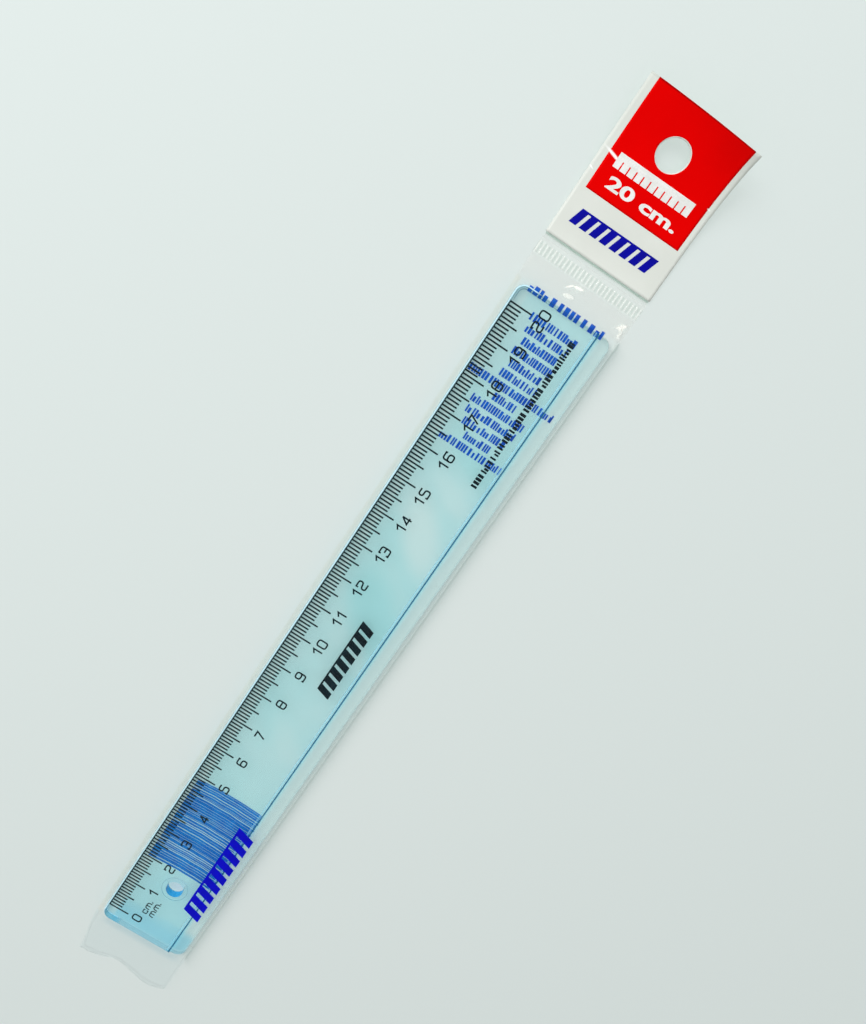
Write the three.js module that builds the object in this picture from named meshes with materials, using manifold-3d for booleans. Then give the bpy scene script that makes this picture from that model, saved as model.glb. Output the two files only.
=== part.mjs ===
// A clear 20 cm plastic ruler in its hanging pouch, in millimetres, +Z up.
// +X runs along the ruler from 0 to 20, +Y is the graduated edge, and the pouch lies on Z = 0.
// The origin is under the middle of the whole object.

import * as THREE from 'three';
import { mergeVertices } from 'three/addons/utils/BufferGeometryUtils.js';
import Module from 'manifold-3d';

const wasm = await Module();
wasm.setup();

// The ruler's moulded body
const ruler_length = 210;
const ruler_width = 26.2;
const ruler_thickness = 2.4;
const corner_radius = 2.4;
const chamfer_width = 0.4;
const chamfer_drop = 0.5;
const lip_width = 3.8;
const lip_root_height = 1.5;
const lip_edge_height = 1.0;
const hole_diameter = 4.9;
const hole_from_zero = 14.95;
const hole_from_edge = 13.4;
const ring_diameter = 7.3;
const ring_height = 0.25;

// The printed scale
const zero_margin = 4.9;
const millimetre = 1;
const ink_thickness = 0.04;
const base_line_width = 0.28;
const tick_width = 0.42;
const millimetre_tick = 3.65;
const half_tick = 5.25;
const centimetre_tick = 6.1;

// The numerals and unit marks
const numeral_height = 2.95;
const numeral_width = 2.2;
const numeral_one_width = 1.5;
const numeral_stroke = 0.42;
const numeral_gap = 0.86;
const numeral_top_from_edge = 7.7;
const unit_height = 1.55;
const unit_c_width = 1.35;
const unit_m_width = 2.25;
const unit_stroke = 0.29;
const unit_gap = 0.35;
const unit_from_zero = 2.9;
const unit_foot_from_edge = 10.85;
const unit_line_pitch = 2.15;

// Plain marks on the ruler's face
const face_bars_from_zero = 89;
const face_bars_length = 25;
const face_bars_height = 4;
const face_bars_foot_from_edge = 18.5;
const scale_bar_to_end = 5.1;
const scale_bar_length = 42;
const scale_bar_height = 1.3;
const scale_bar_foot_from_edge = 19.0;

// The pouch
const film_thickness = 0.1;
const pouch_margin = 1.6;
const film_over_lip = 0.4;
const seat_gap = 0.2;
const head_gap = 0.15;
const side_gap = 0.2;
const weld_width = 0.25;
const weld_height = 0.3;
const weld_margin = 0.25;
const slide_to_bottom = 8;
const slide_to_mouth = 4.5;
const bottom_gap = 2;
const mouth_gap = 0.4;
const bottom_slope = 5.2;
const mouth_slope = 1.5;
const crimp_length = 4.3;
const rib_from_mouth = 0.3;
const rib_length = 3.1;
const rib_height = 0.15;
const rib_width = 0.6;
const rib_pitch = 1.1;

// The print on the films
const stripes_from_zero = 18.5;
const stripes_length = 30.4;
const stripes_top_from_film_edge = 3.6;
const stripes_height = 20.8;
const rules_to_end = 41.1;
const rules_pitch = 2.95;
const rules_width = 0.8;
const rules_length = 24;
const rules_middle_from_film_edge = 14.6;
const rules_spine_width = 0.16;
const title_rule_to_end = 1.1;
const title_rule_width = 2.1;
const title_rule_length = 21;
const navy_bars_from_zero = 9.5;
const navy_bars_length = 34.5;
const navy_bars_height = 5.4;
const navy_bars_foot_from_film_edge = 3.8;

// The header
const header_length = 40.2;
const leaf_thickness = 0.15;
const slot_clearance = 0.05;
const crease_gap = 0.6;
const header_after_crease = 1.0;
const header_lift_graduated = 4.5;
const header_lift_plain = 11;
const header_border = 1.95;
const white_band = 12.75;
const tail_short_of_fold = 2.4;
const header_hole_diameter = 7.4;
const header_hole_from_fold = 11.6;
const header_hole_off_centre = 0.4;
const hole_rim = 0.2;
const print_gap = 0.03;
const sign_gap = 0.09;
const header_bars_foot = 4.6;
const header_bars_height = 4;
const header_bars_length = 23.5;
const header_bars_off_centre = -0.15;
const sign_above_size = 1.6;
const sign_height = 3.5;
const sign_length = 20.5;
const size_above_band = 2.25;
const size_height = 3;
const size_digit_width = 3.6;
const size_c_width = 3.1;
const size_m_width = 4.6;
const size_stroke = 0.85;
const size_gap = 0.8;
const size_word_gap = 1.9;

// How close two corners are when they are one
const corner_tolerance = 1e-5;

// Counts, steps and shares, which have no unit
const ticks_per_centimetre = 10;
const ticks_per_half = 5;
const corner_steps = 8;
const hole_steps = 40;
const glyph_corner_steps = 3;
const film_slope_steps = 6;
const face_bars_count = 8;
const header_bars_count = 8;
const navy_bars_count = 9;
const scale_bar_blocks = 21;
const sign_notches = 10;
const header_steps_along = 24;
const header_steps_across = 8;
const curl_power = 3.2;
const bar_spine_share = 0.12;
const bar_fill_share = 0.68;
const bar_slant_share = 0.32;
const scale_bar_spine_share = 0.2;
const scale_bar_fill_share = 0.5;
const rib_flank_share = 0.25;
const sign_spine_share = 0.45;
const sign_fill_share = 0.82;
const glyph_round_share = 0.28;
const glyph_reach_share = 0.48;
const glyph_tight_share = 0.75;
const glyph_x_height_share = 0.8;

// How far each numeral is printed from its tick, as a share of a centimetre
const numeral_drift_shares = [
  0.032, 0.002, -0.028, -0.068, -0.088, 0.032, -0.005,
  -0.035, 0.08, 0.055, 0.035, -0.025, -0.015, 0.07,
  0.055, -0.11, -0.028, 0.067, 0.062, 0.022, 0.002,
];

// Bars of the blue block, each with the gap after it, as shares of the block's length
const stripe_width_shares = [0.05, 0.022, 0.04, 0.018, 0.06, 0.028, 0.015, 0.045, 0.02];
const stripe_gap_shares = [0.012, 0.014, 0.01, 0.02, 0.012, 0.016, 0.012, 0.01, 0.018];

// How long each blue line of the second block is, as a share of the longest
const rule_length_shares = [0.74, 0.3, 0.5, 0.58, 0.62, 0.26, 1, 0.42, 0.36, 0.46, 0.4, 0.48, 0.54];

// Centre lines of the glyphs, as shares of the glyph's width and height
const glyph_path_shares = {
  0: [{ closed: true, points: [[0, 0], [1, 0], [1, 1], [0, 1]] }],
  1: [{ sharp: true, points: [[0, 0.72], [1, 1], [1, 0]] }],
  2: [{ points: [[0, 0.78], [0, 1], [1, 1], [1, 0.54], [0, 0.44], [0, 0], [1, 0]] }],
  3: [
    { points: [[0, 0.8], [0, 1], [1, 1], [1, 0], [0, 0], [0, 0.2]] },
    { points: [[0.3, 0.52], [1, 0.52]] },
  ],
  4: [
    { sharp: true, points: [[0.72, 1], [0, 0.27], [1, 0.27]] },
    { sharp: true, points: [[0.72, 1], [0.72, 0]] },
  ],
  5: [{ points: [[0.95, 1], [0, 1], [0, 0.56], [1, 0.56], [1, 0], [0, 0], [0, 0.2]] }],
  6: [
    { closed: true, points: [[0, 0], [1, 0], [1, 0.56], [0, 0.56]] },
    { points: [[1, 0.84], [1, 1], [0, 1], [0, 0.28]] },
  ],
  7: [{ sharp: true, points: [[0, 1], [1, 1], [0.35, 0]] }],
  8: [
    { closed: true, points: [[0, 0], [1, 0], [1, 1], [0, 1]] },
    { points: [[0, 0.52], [1, 0.52]] },
  ],
  9: [
    { closed: true, points: [[0, 0.44], [1, 0.44], [1, 1], [0, 1]] },
    { points: [[0, 0.16], [0, 0], [1, 0], [1, 0.72]] },
  ],
  c: [{ points: [[1, 0.66], [1, 1], [0, 1], [0, 0], [1, 0], [1, 0.34]] }],
  m: [
    { points: [[0, 0], [0, 1], [1, 1], [1, 0]] },
    { points: [[0.5, 0], [0.5, 1]] },
  ],
};

// Places worked out from the sizes, with X counted from the ruler's 0 mark
const half_width = ruler_width / 2;
const step_y = lip_width - half_width;
const face_edge_y = half_width - chamfer_width;
const centimetre = ticks_per_centimetre * millimetre;
const tick_count = Math.floor((ruler_length - 2 * zero_margin) / millimetre);
const ruler_z = film_thickness + seat_gap;
const face_z = ruler_z + ruler_thickness;
const film_z = face_z + ring_height + head_gap;
const pouch_half_width = half_width + pouch_margin;
const film_half_width = pouch_half_width - weld_width;
const pouch_bottom_x = -(zero_margin + slide_to_bottom + bottom_gap + bottom_slope + film_over_lip);
const ruler_end_x = ruler_length - zero_margin;
const mouth_x = ruler_end_x + slide_to_mouth + mouth_gap + mouth_slope + film_over_lip;
const crimp_end_x = mouth_x + crimp_length;
const tail_x = crimp_end_x + crease_gap;
const header_x = crimp_end_x + crease_gap / 2 + header_after_crease;
const slot_thickness = 2 * film_thickness + 2 * slot_clearance;
const header_thickness = 2 * leaf_thickness + slot_thickness;
const header_end_x = header_x + curlRun(header_length, pouch_half_width);
const middle_x = (pouch_bottom_x + header_end_x) / 2;
const overrun = ruler_thickness;

// Colours and finishes
const clear_blue = finish(0x8fcbd8, 0.12, 0.55);
const black_ink = finish(0x16262c, 0.6);
const clear_film = finish(0xe3eef0, 0.15, 0.2);
const crimped_film = finish(0xd6e2e2, 0.3, 0.6);
const blue_ink = finish(0x2c6fd0, 0.5);
const navy_ink = finish(0x1a1f9c, 0.4);
const white_sheet = finish(0xf0f2ee, 0.35);
const red_ink = finish(0xdc1010, 0.35);
const white_ink = finish(0xf7f7f4, 0.35);

function finish(color, roughness, opacity = 1) {
  const transparent = opacity < 1;
  return new THREE.MeshStandardMaterial({ color, roughness, metalness: 0, opacity, transparent });
}

// Solids, joins and cuts

function solidOf(geometry) {
  const bare = new THREE.BufferGeometry();
  bare.setAttribute('position', geometry.getAttribute('position').clone());
  if (geometry.index) bare.setIndex(geometry.index.clone());
  const merged = mergeVertices(bare, corner_tolerance);
  return new wasm.Manifold(new wasm.Mesh({
    numProp: 3,
    vertProperties: Float32Array.from(merged.getAttribute('position').array),
    triVerts: Uint32Array.from(merged.index.array),
  }));
}

function geometryOf(solid) {
  const { vertProperties, triVerts } = solid.getMesh();
  const geometry = new THREE.BufferGeometry();
  geometry.setAttribute('position', new THREE.BufferAttribute(vertProperties, 3));
  geometry.setIndex(new THREE.BufferAttribute(triVerts, 1));
  geometry.computeVertexNormals();
  return geometry;
}

function prism(shape, height, z = 0) {
  const settings = { depth: height, bevelEnabled: false, curveSegments: corner_steps };
  return new THREE.ExtrudeGeometry(shape, settings).translate(0, 0, z);
}

// A section drawn in Y and Z, swept along X
function alongX(shape, length, x) {
  const turn = new THREE.Matrix4().makeBasis(
    new THREE.Vector3(0, 1, 0), new THREE.Vector3(0, 0, 1), new THREE.Vector3(1, 0, 0),
  );
  return prism(shape, length).applyMatrix4(turn).translate(x, 0, 0);
}

function block(x0, x1, y0, y1, z0, z1) {
  const geometry = new THREE.BoxGeometry(x1 - x0, y1 - y0, z1 - z0);
  return geometry.translate((x0 + x1) / 2, (y0 + y1) / 2, (z0 + z1) / 2);
}

function disc(diameter, x, y, z0, z1) {
  const geometry = new THREE.CylinderGeometry(diameter / 2, diameter / 2, z1 - z0, hole_steps);
  return geometry.rotateX(Math.PI / 2).translate(x, y, (z0 + z1) / 2);
}

function polygon(points) {
  return new THREE.Shape(points.map(([x, y]) => new THREE.Vector2(x, y)));
}

function roundedPlate(length, width, radius) {
  const shape = new THREE.Shape();
  const right = length / 2 - radius;
  const top = width / 2 - radius;
  shape.absarc(right, top, radius, 0, Math.PI / 2);
  shape.absarc(-right, top, radius, Math.PI / 2, Math.PI);
  shape.absarc(-right, -top, radius, Math.PI, 1.5 * Math.PI);
  shape.absarc(right, -top, radius, 1.5 * Math.PI, 2 * Math.PI);
  return shape;
}

// A spine with teeth hanging below it. Each tooth has a left, a right and a length from the spine's top.
function comb(teeth, top, spine, slant = 0) {
  const lean = (depth) => -slant * depth;
  const low = top - spine;
  const points = [
    [teeth[0].left, top],
    [teeth[teeth.length - 1].right, top],
  ];
  for (const { left, right, length } of [...teeth].reverse()) {
    const tip = top - length;
    points.push([right + lean(spine), low]);
    points.push([right + lean(length), tip]);
    points.push([left + lean(length), tip]);
    points.push([left + lean(spine), low]);
  }
  return polygon(points.reverse());
}

function evenTeeth(count, start, pitch, width, length) {
  return Array.from({ length: count }, (_, i) => ({
    left: start + i * pitch,
    right: start + i * pitch + width,
    length,
  }));
}

// A thin closed sheet between two grids of points, where place(x, y, side) puts the lower and upper ones
function sheet(xs, ys, place) {
  const positions = [];
  for (const side of [0, 1]) {
    for (const x of xs) {
      for (const y of ys) positions.push(...place(x, y, side));
    }
  }
  const rows = xs.length;
  const columns = ys.length;
  const at = (i, j, side) => (side * rows + i) * columns + j;
  const index = [];
  const quad = (a, b, c, d) => index.push(a, b, c, a, c, d);
  for (let i = 0; i + 1 < rows; i += 1) {
    for (let j = 0; j + 1 < columns; j += 1) {
      quad(at(i, j, 1), at(i + 1, j, 1), at(i + 1, j + 1, 1), at(i, j + 1, 1));
      quad(at(i, j, 0), at(i, j + 1, 0), at(i + 1, j + 1, 0), at(i + 1, j, 0));
    }
    quad(at(i, 0, 0), at(i + 1, 0, 0), at(i + 1, 0, 1), at(i, 0, 1));
    quad(at(i + 1, columns - 1, 0), at(i, columns - 1, 0), at(i, columns - 1, 1), at(i + 1, columns - 1, 1));
  }
  for (let j = 0; j + 1 < columns; j += 1) {
    quad(at(0, j + 1, 0), at(0, j, 0), at(0, j, 1), at(0, j + 1, 1));
    quad(at(rows - 1, j, 0), at(rows - 1, j + 1, 0), at(rows - 1, j + 1, 1), at(rows - 1, j, 1));
  }
  const geometry = new THREE.BufferGeometry();
  geometry.setAttribute('position', new THREE.Float32BufferAttribute(positions, 3));
  geometry.setIndex(index);
  geometry.computeVertexNormals();
  return geometry;
}

function evenSteps(start, end, count) {
  return Array.from({ length: count + 1 }, (_, i) => start + ((end - start) * i) / count);
}

// Glyphs, drawn as ribbons along their centre lines

// Corners are rounded where the stroke has room to turn, and stay sharp where it hasn't
function softened(points, radius, stroke, closed) {
  const last = points.length - 1;
  return points.flatMap((corner, i) => {
    if (!closed && (i === 0 || i === last)) return [corner];
    const before = points[i === 0 ? last : i - 1];
    const after = points[i === last ? 0 : i + 1];
    const into = before.clone().sub(corner);
    const out = after.clone().sub(corner);
    const room = Math.min(into.length(), out.length()) * glyph_reach_share;
    const reach = Math.min(radius, room);
    if (reach < stroke * glyph_tight_share) return [corner];
    const start = corner.clone().add(into.setLength(reach));
    const end = corner.clone().add(out.setLength(reach));
    return new THREE.QuadraticBezierCurve(start, corner, end).getPoints(glyph_corner_steps);
  });
}

function besideLine(points, shift, closed) {
  const last = points.length - 1;
  return points.map((point, i) => {
    const before = i > 0 ? points[i - 1] : closed ? points[last] : null;
    const after = i < last ? points[i + 1] : closed ? points[0] : null;
    const normals = [];
    if (before) normals.push(point.clone().sub(before));
    if (after) normals.push(after.clone().sub(point));
    const sides = normals.map((way) => new THREE.Vector2(-way.y, way.x).normalize());
    const middle = sides.reduce((sum, side) => sum.add(side), new THREE.Vector2()).normalize();
    return point.clone().add(middle.multiplyScalar(shift / middle.dot(sides[0])));
  });
}

function ribbon(points, width, closed) {
  const left = besideLine(points, width / 2, closed);
  const right = besideLine(points, -width / 2, closed);
  if (!closed) return new THREE.Shape([...right, ...left.reverse()]);
  const shape = new THREE.Shape(right);
  shape.holes.push(new THREE.Path(left));
  return shape;
}

function glyph(name, width, height, stroke) {
  const across = width - stroke;
  const up = height - stroke;
  const place = ([x, y]) => new THREE.Vector2(stroke / 2 + x * across, stroke / 2 + y * up);
  const ribbons = glyph_path_shares[name].map(({ points, closed = false, sharp = false }) => {
    const places = points.map(place);
    const line = sharp ? places : softened(places, width * glyph_round_share, stroke, closed);
    return solidOf(prism(ribbon(line, stroke, closed), ink_thickness));
  });
  return geometryOf(ribbons.reduce((whole, part) => whole.add(part)));
}

// The ruler

function rulerBody() {
  const plate = roundedPlate(ruler_length, ruler_width, corner_radius);
  const base = solidOf(prism(plate, lip_root_height));
  const raised = solidOf(new THREE.ExtrudeGeometry(plate, {
    depth: ruler_thickness - chamfer_drop,
    bevelThickness: chamfer_drop,
    bevelSize: chamfer_width,
    bevelOffset: -chamfer_width,
    bevelSegments: 1,
    curveSegments: corner_steps,
  }));
  const half_length = ruler_length / 2 + overrun;
  const top = ruler_thickness + overrun;
  const main_side = solidOf(block(-half_length, half_length, step_y, half_width + overrun, 0, top));
  const fall = (lip_root_height - lip_edge_height) / lip_width;
  const outside = half_width + overrun;
  const above_lip = solidOf(alongX(polygon([
    [step_y, lip_root_height],
    [step_y, top],
    [-outside, top],
    [-outside, lip_root_height - fall * (outside + step_y)],
  ]), 2 * half_length, -half_length));
  const hole_x = hole_from_zero + zero_margin - ruler_length / 2;
  const hole_y = half_width - hole_from_edge;
  const ring = solidOf(disc(ring_diameter, hole_x, hole_y, lip_root_height, ruler_thickness + ring_height));
  const hole = solidOf(disc(hole_diameter, hole_x, hole_y, -overrun, top));
  const body = base.subtract(above_lip).add(raised.intersect(main_side)).add(ring).subtract(hole);
  return geometryOf(body).translate(ruler_length / 2 - zero_margin, 0, ruler_z);
}

function tickLength(i) {
  if (i % ticks_per_centimetre === 0) return centimetre_tick;
  return i % ticks_per_half === 0 ? half_tick : millimetre_tick;
}

function graduation() {
  const teeth = Array.from({ length: tick_count + 1 }, (_, i) => ({
    left: i * millimetre - tick_width / 2,
    right: i * millimetre + tick_width / 2,
    length: tickLength(i),
  }));
  return prism(comb(teeth, face_edge_y, base_line_width), ink_thickness, face_z);
}

// Slanted bars that hang from a thin line, a plain mark with no letters
function slantedBars(count, start, length, top, height) {
  const slant = bar_slant_share;
  const pitch = (length - slant * height) / count;
  const teeth = evenTeeth(count, start + slant * height, pitch, pitch * bar_fill_share, height);
  return comb(teeth, top, height * bar_spine_share, slant);
}

function faceBars() {
  const foot = half_width - face_bars_foot_from_edge;
  const top = foot + face_bars_height;
  const shape = slantedBars(face_bars_count, face_bars_from_zero, face_bars_length, top, face_bars_height);
  return prism(shape, ink_thickness, face_z);
}

function faceScaleBar() {
  const pitch = scale_bar_length / (scale_bar_blocks - 1 + scale_bar_fill_share);
  const start = ruler_end_x - scale_bar_to_end - scale_bar_length;
  const top = half_width - scale_bar_foot_from_edge + scale_bar_height;
  const teeth = evenTeeth(scale_bar_blocks, start, pitch, pitch * scale_bar_fill_share, scale_bar_height);
  return prism(comb(teeth, top, scale_bar_height * scale_bar_spine_share), ink_thickness, face_z);
}

function numeralGlyphs() {
  const foot = half_width - numeral_top_from_edge - numeral_height;
  const last = Math.min(Math.floor(tick_count / ticks_per_centimetre), numeral_drift_shares.length - 1);
  const widthOf = (digit) => (digit === '1' ? numeral_one_width : numeral_width);
  const places = [];
  for (let number = 0; number <= last; number += 1) {
    const digits = [...String(number)];
    const gaps = (digits.length - 1) * numeral_gap;
    const width = digits.reduce((sum, digit) => sum + widthOf(digit), gaps);
    let x = (number + numeral_drift_shares[number]) * centimetre - width / 2;
    digits.forEach((digit, i) => {
      const place = i === 0 ? 'tens' : 'units';
      const name = digits.length === 1 ? `numeral_${number}` : `numeral_${number}_${place}`;
      const mark = glyph(digit, widthOf(digit), numeral_height, numeral_stroke);
      places.push([name, mark.translate(x, foot, face_z)]);
      x += widthOf(digit) + numeral_gap;
    });
  }
  return places;
}

function unitGlyphs() {
  const foot = half_width - unit_foot_from_edge;
  const low = foot - unit_line_pitch;
  const second_c = unit_from_zero + unit_c_width + unit_gap;
  const second_m = unit_from_zero + unit_m_width + unit_gap;
  return [
    ['unit_cm_c', 'c', unit_c_width, unit_from_zero, foot],
    ['unit_cm_m', 'm', unit_m_width, second_c, foot],
    ['unit_mm_first', 'm', unit_m_width, unit_from_zero, low],
    ['unit_mm_second', 'm', unit_m_width, second_m, low],
  ].map(([name, letter, width, x, y]) => (
    [name, glyph(letter, width, unit_height, unit_stroke).translate(x, y, face_z)]
  ));
}

// The pouch

// One sheet that stands clear of the ruler, with a soft slope down to each weld
function frontFilm() {
  const flat_y = half_width + side_gap;
  const side_slope = film_half_width - weld_margin - flat_y;
  const low_x = pouch_bottom_x + film_over_lip;
  const high_x = mouth_x - film_over_lip;
  const climb = evenSteps(0, 1, film_slope_steps);
  const rise = (distance, slope) => THREE.MathUtils.smoothstep(distance, 0, slope);
  const xs = [
    pouch_bottom_x + weld_width,
    ...climb.map((share) => low_x + share * bottom_slope),
    ...climb.map((share) => high_x - (1 - share) * mouth_slope),
    mouth_x,
  ];
  const ys = [
    -film_half_width,
    ...climb.map((share) => -flat_y - (1 - share) * side_slope),
    ...climb.map((share) => flat_y + share * side_slope),
    film_half_width,
  ];
  const lowAt = (x, y) => {
    const ends = Math.min(rise(x - low_x, bottom_slope), rise(high_x - x, mouth_slope));
    const sides = rise(flat_y + side_slope - Math.abs(y), side_slope);
    return film_thickness + (film_z - film_thickness) * ends * sides;
  };
  return sheet(xs, ys, (x, y, side) => [x, y, lowAt(x, y) + side * film_thickness]);
}

function backFilm() {
  return block(pouch_bottom_x + weld_width, mouth_x, -film_half_width, film_half_width, 0, film_thickness);
}

function sideWeld(side) {
  const edges = [side * film_half_width, side * pouch_half_width].sort((a, b) => a - b);
  return block(pouch_bottom_x, mouth_x, ...edges, 0, weld_height);
}

function bottomFold() {
  const end = pouch_bottom_x + weld_width;
  return block(pouch_bottom_x, end, -film_half_width, film_half_width, 0, weld_height);
}

function crimpSeal() {
  const half = pouch_half_width;
  const strip = solidOf(block(mouth_x, crimp_end_x, -half, half, 0, 2 * film_thickness));
  const count = Math.floor((2 * half - rib_width) / rib_pitch);
  const first = -((count - 1) * rib_pitch + rib_width) / 2;
  const start = mouth_x + rib_from_mouth;
  const flank = rib_width * rib_flank_share;
  const top = 2 * film_thickness + rib_height;
  let seal = strip;
  for (let i = 0; i < count; i += 1) {
    const y = first + i * rib_pitch;
    const rib = polygon([
      [y, film_thickness],
      [y + rib_width, film_thickness],
      [y + rib_width - flank, top],
      [y + flank, top],
    ]);
    seal = seal.add(solidOf(alongX(rib, rib_length, start)));
  }
  return geometryOf(seal);
}

function filmStripes() {
  const top = pouch_half_width - stripes_top_from_film_edge;
  const teeth = [];
  let x = 0;
  for (let i = 0; x < 1 - stripe_width_shares[i % stripe_width_shares.length]; i += 1) {
    const width = stripe_width_shares[i % stripe_width_shares.length];
    const left = stripes_from_zero + x * stripes_length;
    teeth.push({ left, right: left + width * stripes_length, length: stripes_height });
    x += width + stripe_gap_shares[i % stripe_gap_shares.length];
  }
  return prism(comb(teeth, top, tick_width), ink_thickness, film_thickness);
}

// Lines across the film, centred on a thin one that joins them, and a bold one past the ruler's end
function filmRules() {
  const middle = pouch_half_width - rules_middle_from_film_edge;
  const start = ruler_end_x - rules_to_end;
  const title_x = ruler_end_x - title_rule_to_end;
  const line = (x, width, length) => solidOf(block(
    x, x + width, middle - length / 2, middle + length / 2, film_thickness, film_thickness + ink_thickness,
  ));
  const title = line(title_x, title_rule_width, title_rule_length);
  const spine = line(start, title_x + title_rule_width - start, rules_spine_width);
  const lines = rule_length_shares.map((share, i) => (
    line(start + i * rules_pitch, rules_width, rules_length * share)
  ));
  return geometryOf(lines.reduce((whole, part) => whole.add(part), spine.add(title)));
}

function navyBars() {
  const foot = navy_bars_foot_from_film_edge - pouch_half_width;
  const top = foot + navy_bars_height;
  const shape = slantedBars(navy_bars_count, navy_bars_from_zero, navy_bars_length, top, navy_bars_height);
  return prism(shape, ink_thickness, film_z + film_thickness);
}

// The header, which curls up towards its fold, more on the plain side

function liftAt(y) {
  const share = THREE.MathUtils.inverseLerp(-pouch_half_width, pouch_half_width, y);
  return THREE.MathUtils.lerp(header_lift_plain, header_lift_graduated, share);
}

function curlRise(along, y) {
  return liftAt(y) * Math.max(along / header_length, 0) ** curl_power;
}

// The curl draws the sheet in, so that its length along the curve stays the same
function curlRun(along, y) {
  const pull = (liftAt(y) * curl_power) ** 2 / (2 * header_length * (2 * curl_power - 1));
  return along - pull * Math.max(along / header_length, 0) ** (2 * curl_power - 1);
}

function curled(along, y, z) {
  return [header_x + curlRun(along, y), y, z + curlRise(along, y)];
}

function curledSheet(start, end, half, z, thickness) {
  const steps = Math.ceil((header_steps_along * (end - start)) / header_length);
  const xs = evenSteps(start, end, steps);
  const ys = evenSteps(-half, half, header_steps_across);
  return sheet(xs, ys, (x, y, side) => curled(x, y, z + side * thickness));
}

function headerHole(diameter) {
  const [x, y] = curled(header_length - header_hole_from_fold, header_hole_off_centre, 0);
  return solidOf(disc(diameter, x, y, -overrun, header_lift_plain + header_thickness + overrun));
}

function headerCard() {
  const half = pouch_half_width;
  const whole = solidOf(curledSheet(0, header_length, half, 0, header_thickness));
  const slot_end = header_length - 2 * leaf_thickness;
  const slot = solidOf(curledSheet(-overrun, slot_end, half + overrun, leaf_thickness, slot_thickness));
  return geometryOf(whole.subtract(slot).subtract(headerHole(header_hole_diameter)));
}

function headerTail() {
  const z = leaf_thickness + slot_clearance;
  const half = film_half_width;
  const end = header_length - tail_short_of_fold;
  const tail = solidOf(curledSheet(tail_x - header_x, end, half, z, 2 * film_thickness));
  return geometryOf(tail.subtract(headerHole(header_hole_diameter)));
}

function redPanel() {
  const half = pouch_half_width - header_border;
  const z = header_thickness + print_gap;
  const panel = solidOf(curledSheet(white_band, header_length - leaf_thickness, half, z, ink_thickness));
  return geometryOf(panel.subtract(headerHole(header_hole_diameter + 2 * hole_rim)));
}

// Marks on the header read across it, with their tops towards the fold
function onHeader(geometry, foot, left, gap) {
  const position = geometry.getAttribute('position');
  for (let i = 0; i < position.count; i += 1) {
    const along = foot + position.getY(i);
    const across = left - position.getX(i);
    const height = header_thickness + gap + position.getZ(i);
    position.setXYZ(i, ...curled(along, across, height));
  }
  geometry.computeVertexNormals();
  return geometry;
}

function headerBars() {
  const left = header_bars_off_centre + header_bars_length / 2;
  const shape = slantedBars(header_bars_count, 0, header_bars_length, header_bars_height, header_bars_height);
  return onHeader(prism(shape, ink_thickness), header_bars_foot, left, print_gap);
}

// A small white ruler with notches, the sign of what is in the pouch
function headerSign() {
  const pitch = sign_length / (sign_notches + sign_fill_share);
  const teeth = evenTeeth(sign_notches + 1, 0, pitch, pitch * sign_fill_share, sign_height);
  const shape = comb(teeth, sign_height, sign_height * sign_spine_share);
  const foot = white_band + size_above_band + size_height + sign_above_size;
  return onHeader(prism(shape, ink_thickness), foot, sign_length / 2, sign_gap);
}

function headerSize() {
  const marks = [
    ['header_size_2', '2', size_digit_width, size_height, size_gap],
    ['header_size_0', '0', size_digit_width, size_height, size_word_gap],
    ['header_size_c', 'c', size_c_width, size_height * glyph_x_height_share, size_gap],
    ['header_size_m', 'm', size_m_width, size_height * glyph_x_height_share, 0],
  ];
  const width = marks.reduce((sum, mark) => sum + mark[2] + mark[4], 0);
  let left = width / 2;
  return marks.map(([name, letter, mark_width, height, gap]) => {
    const mark = glyph(letter, mark_width, height, size_stroke);
    const placed = [name, onHeader(mark, white_band + size_above_band, left, sign_gap)];
    left -= mark_width + gap;
    return placed;
  });
}

// The whole object

const object = new THREE.Group();
object.position.x = -middle_x;

function add(name, geometry, material) {
  const mesh = new THREE.Mesh(geometry, material.clone());
  mesh.name = name;
  object.add(mesh);
}

add('ruler_body', rulerBody(), clear_blue);
add('graduation_ticks', graduation(), black_ink);
for (const [name, geometry] of numeralGlyphs()) add(name, geometry, black_ink);
for (const [name, geometry] of unitGlyphs()) add(name, geometry, black_ink);
add('face_bars', faceBars(), black_ink);
add('face_scale_bar', faceScaleBar(), black_ink);

add('pouch_front_film', frontFilm(), clear_film);
add('pouch_back_film', backFilm(), clear_film);
add('side_weld_graduated', sideWeld(1), clear_film);
add('side_weld_plain', sideWeld(-1), clear_film);
add('bottom_fold', bottomFold(), clear_film);
add('crimp_seal', crimpSeal(), crimped_film);
add('back_film_stripes', filmStripes(), blue_ink);
add('back_film_rules', filmRules(), blue_ink);
add('front_film_bars', navyBars(), navy_ink);

add('header_card', headerCard(), white_sheet);
add('header_film_tail', headerTail(), clear_film);
add('header_red_panel', redPanel(), red_ink);
add('header_bars', headerBars(), navy_ink);
add('header_ruler_sign', headerSign(), white_ink);
for (const [name, geometry] of headerSize()) add(name, geometry, white_ink);

export default object;
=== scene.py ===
# %% [markdown]
# # A clear 20 cm ruler in its hanging pouch
# The object is a moulded ruler of clear pale-blue plastic, printed in black, inside a thin clear pouch
# with a folded white and red header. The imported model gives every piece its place. This script gives
# them their looks: see-through plastics with drawn edges, soft films with ripples, ink, and a curled
# glossy header.

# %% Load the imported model
import math
import random

import bmesh
import bpy
from mathutils import Matrix, Quaternion, Vector, noise


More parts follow.
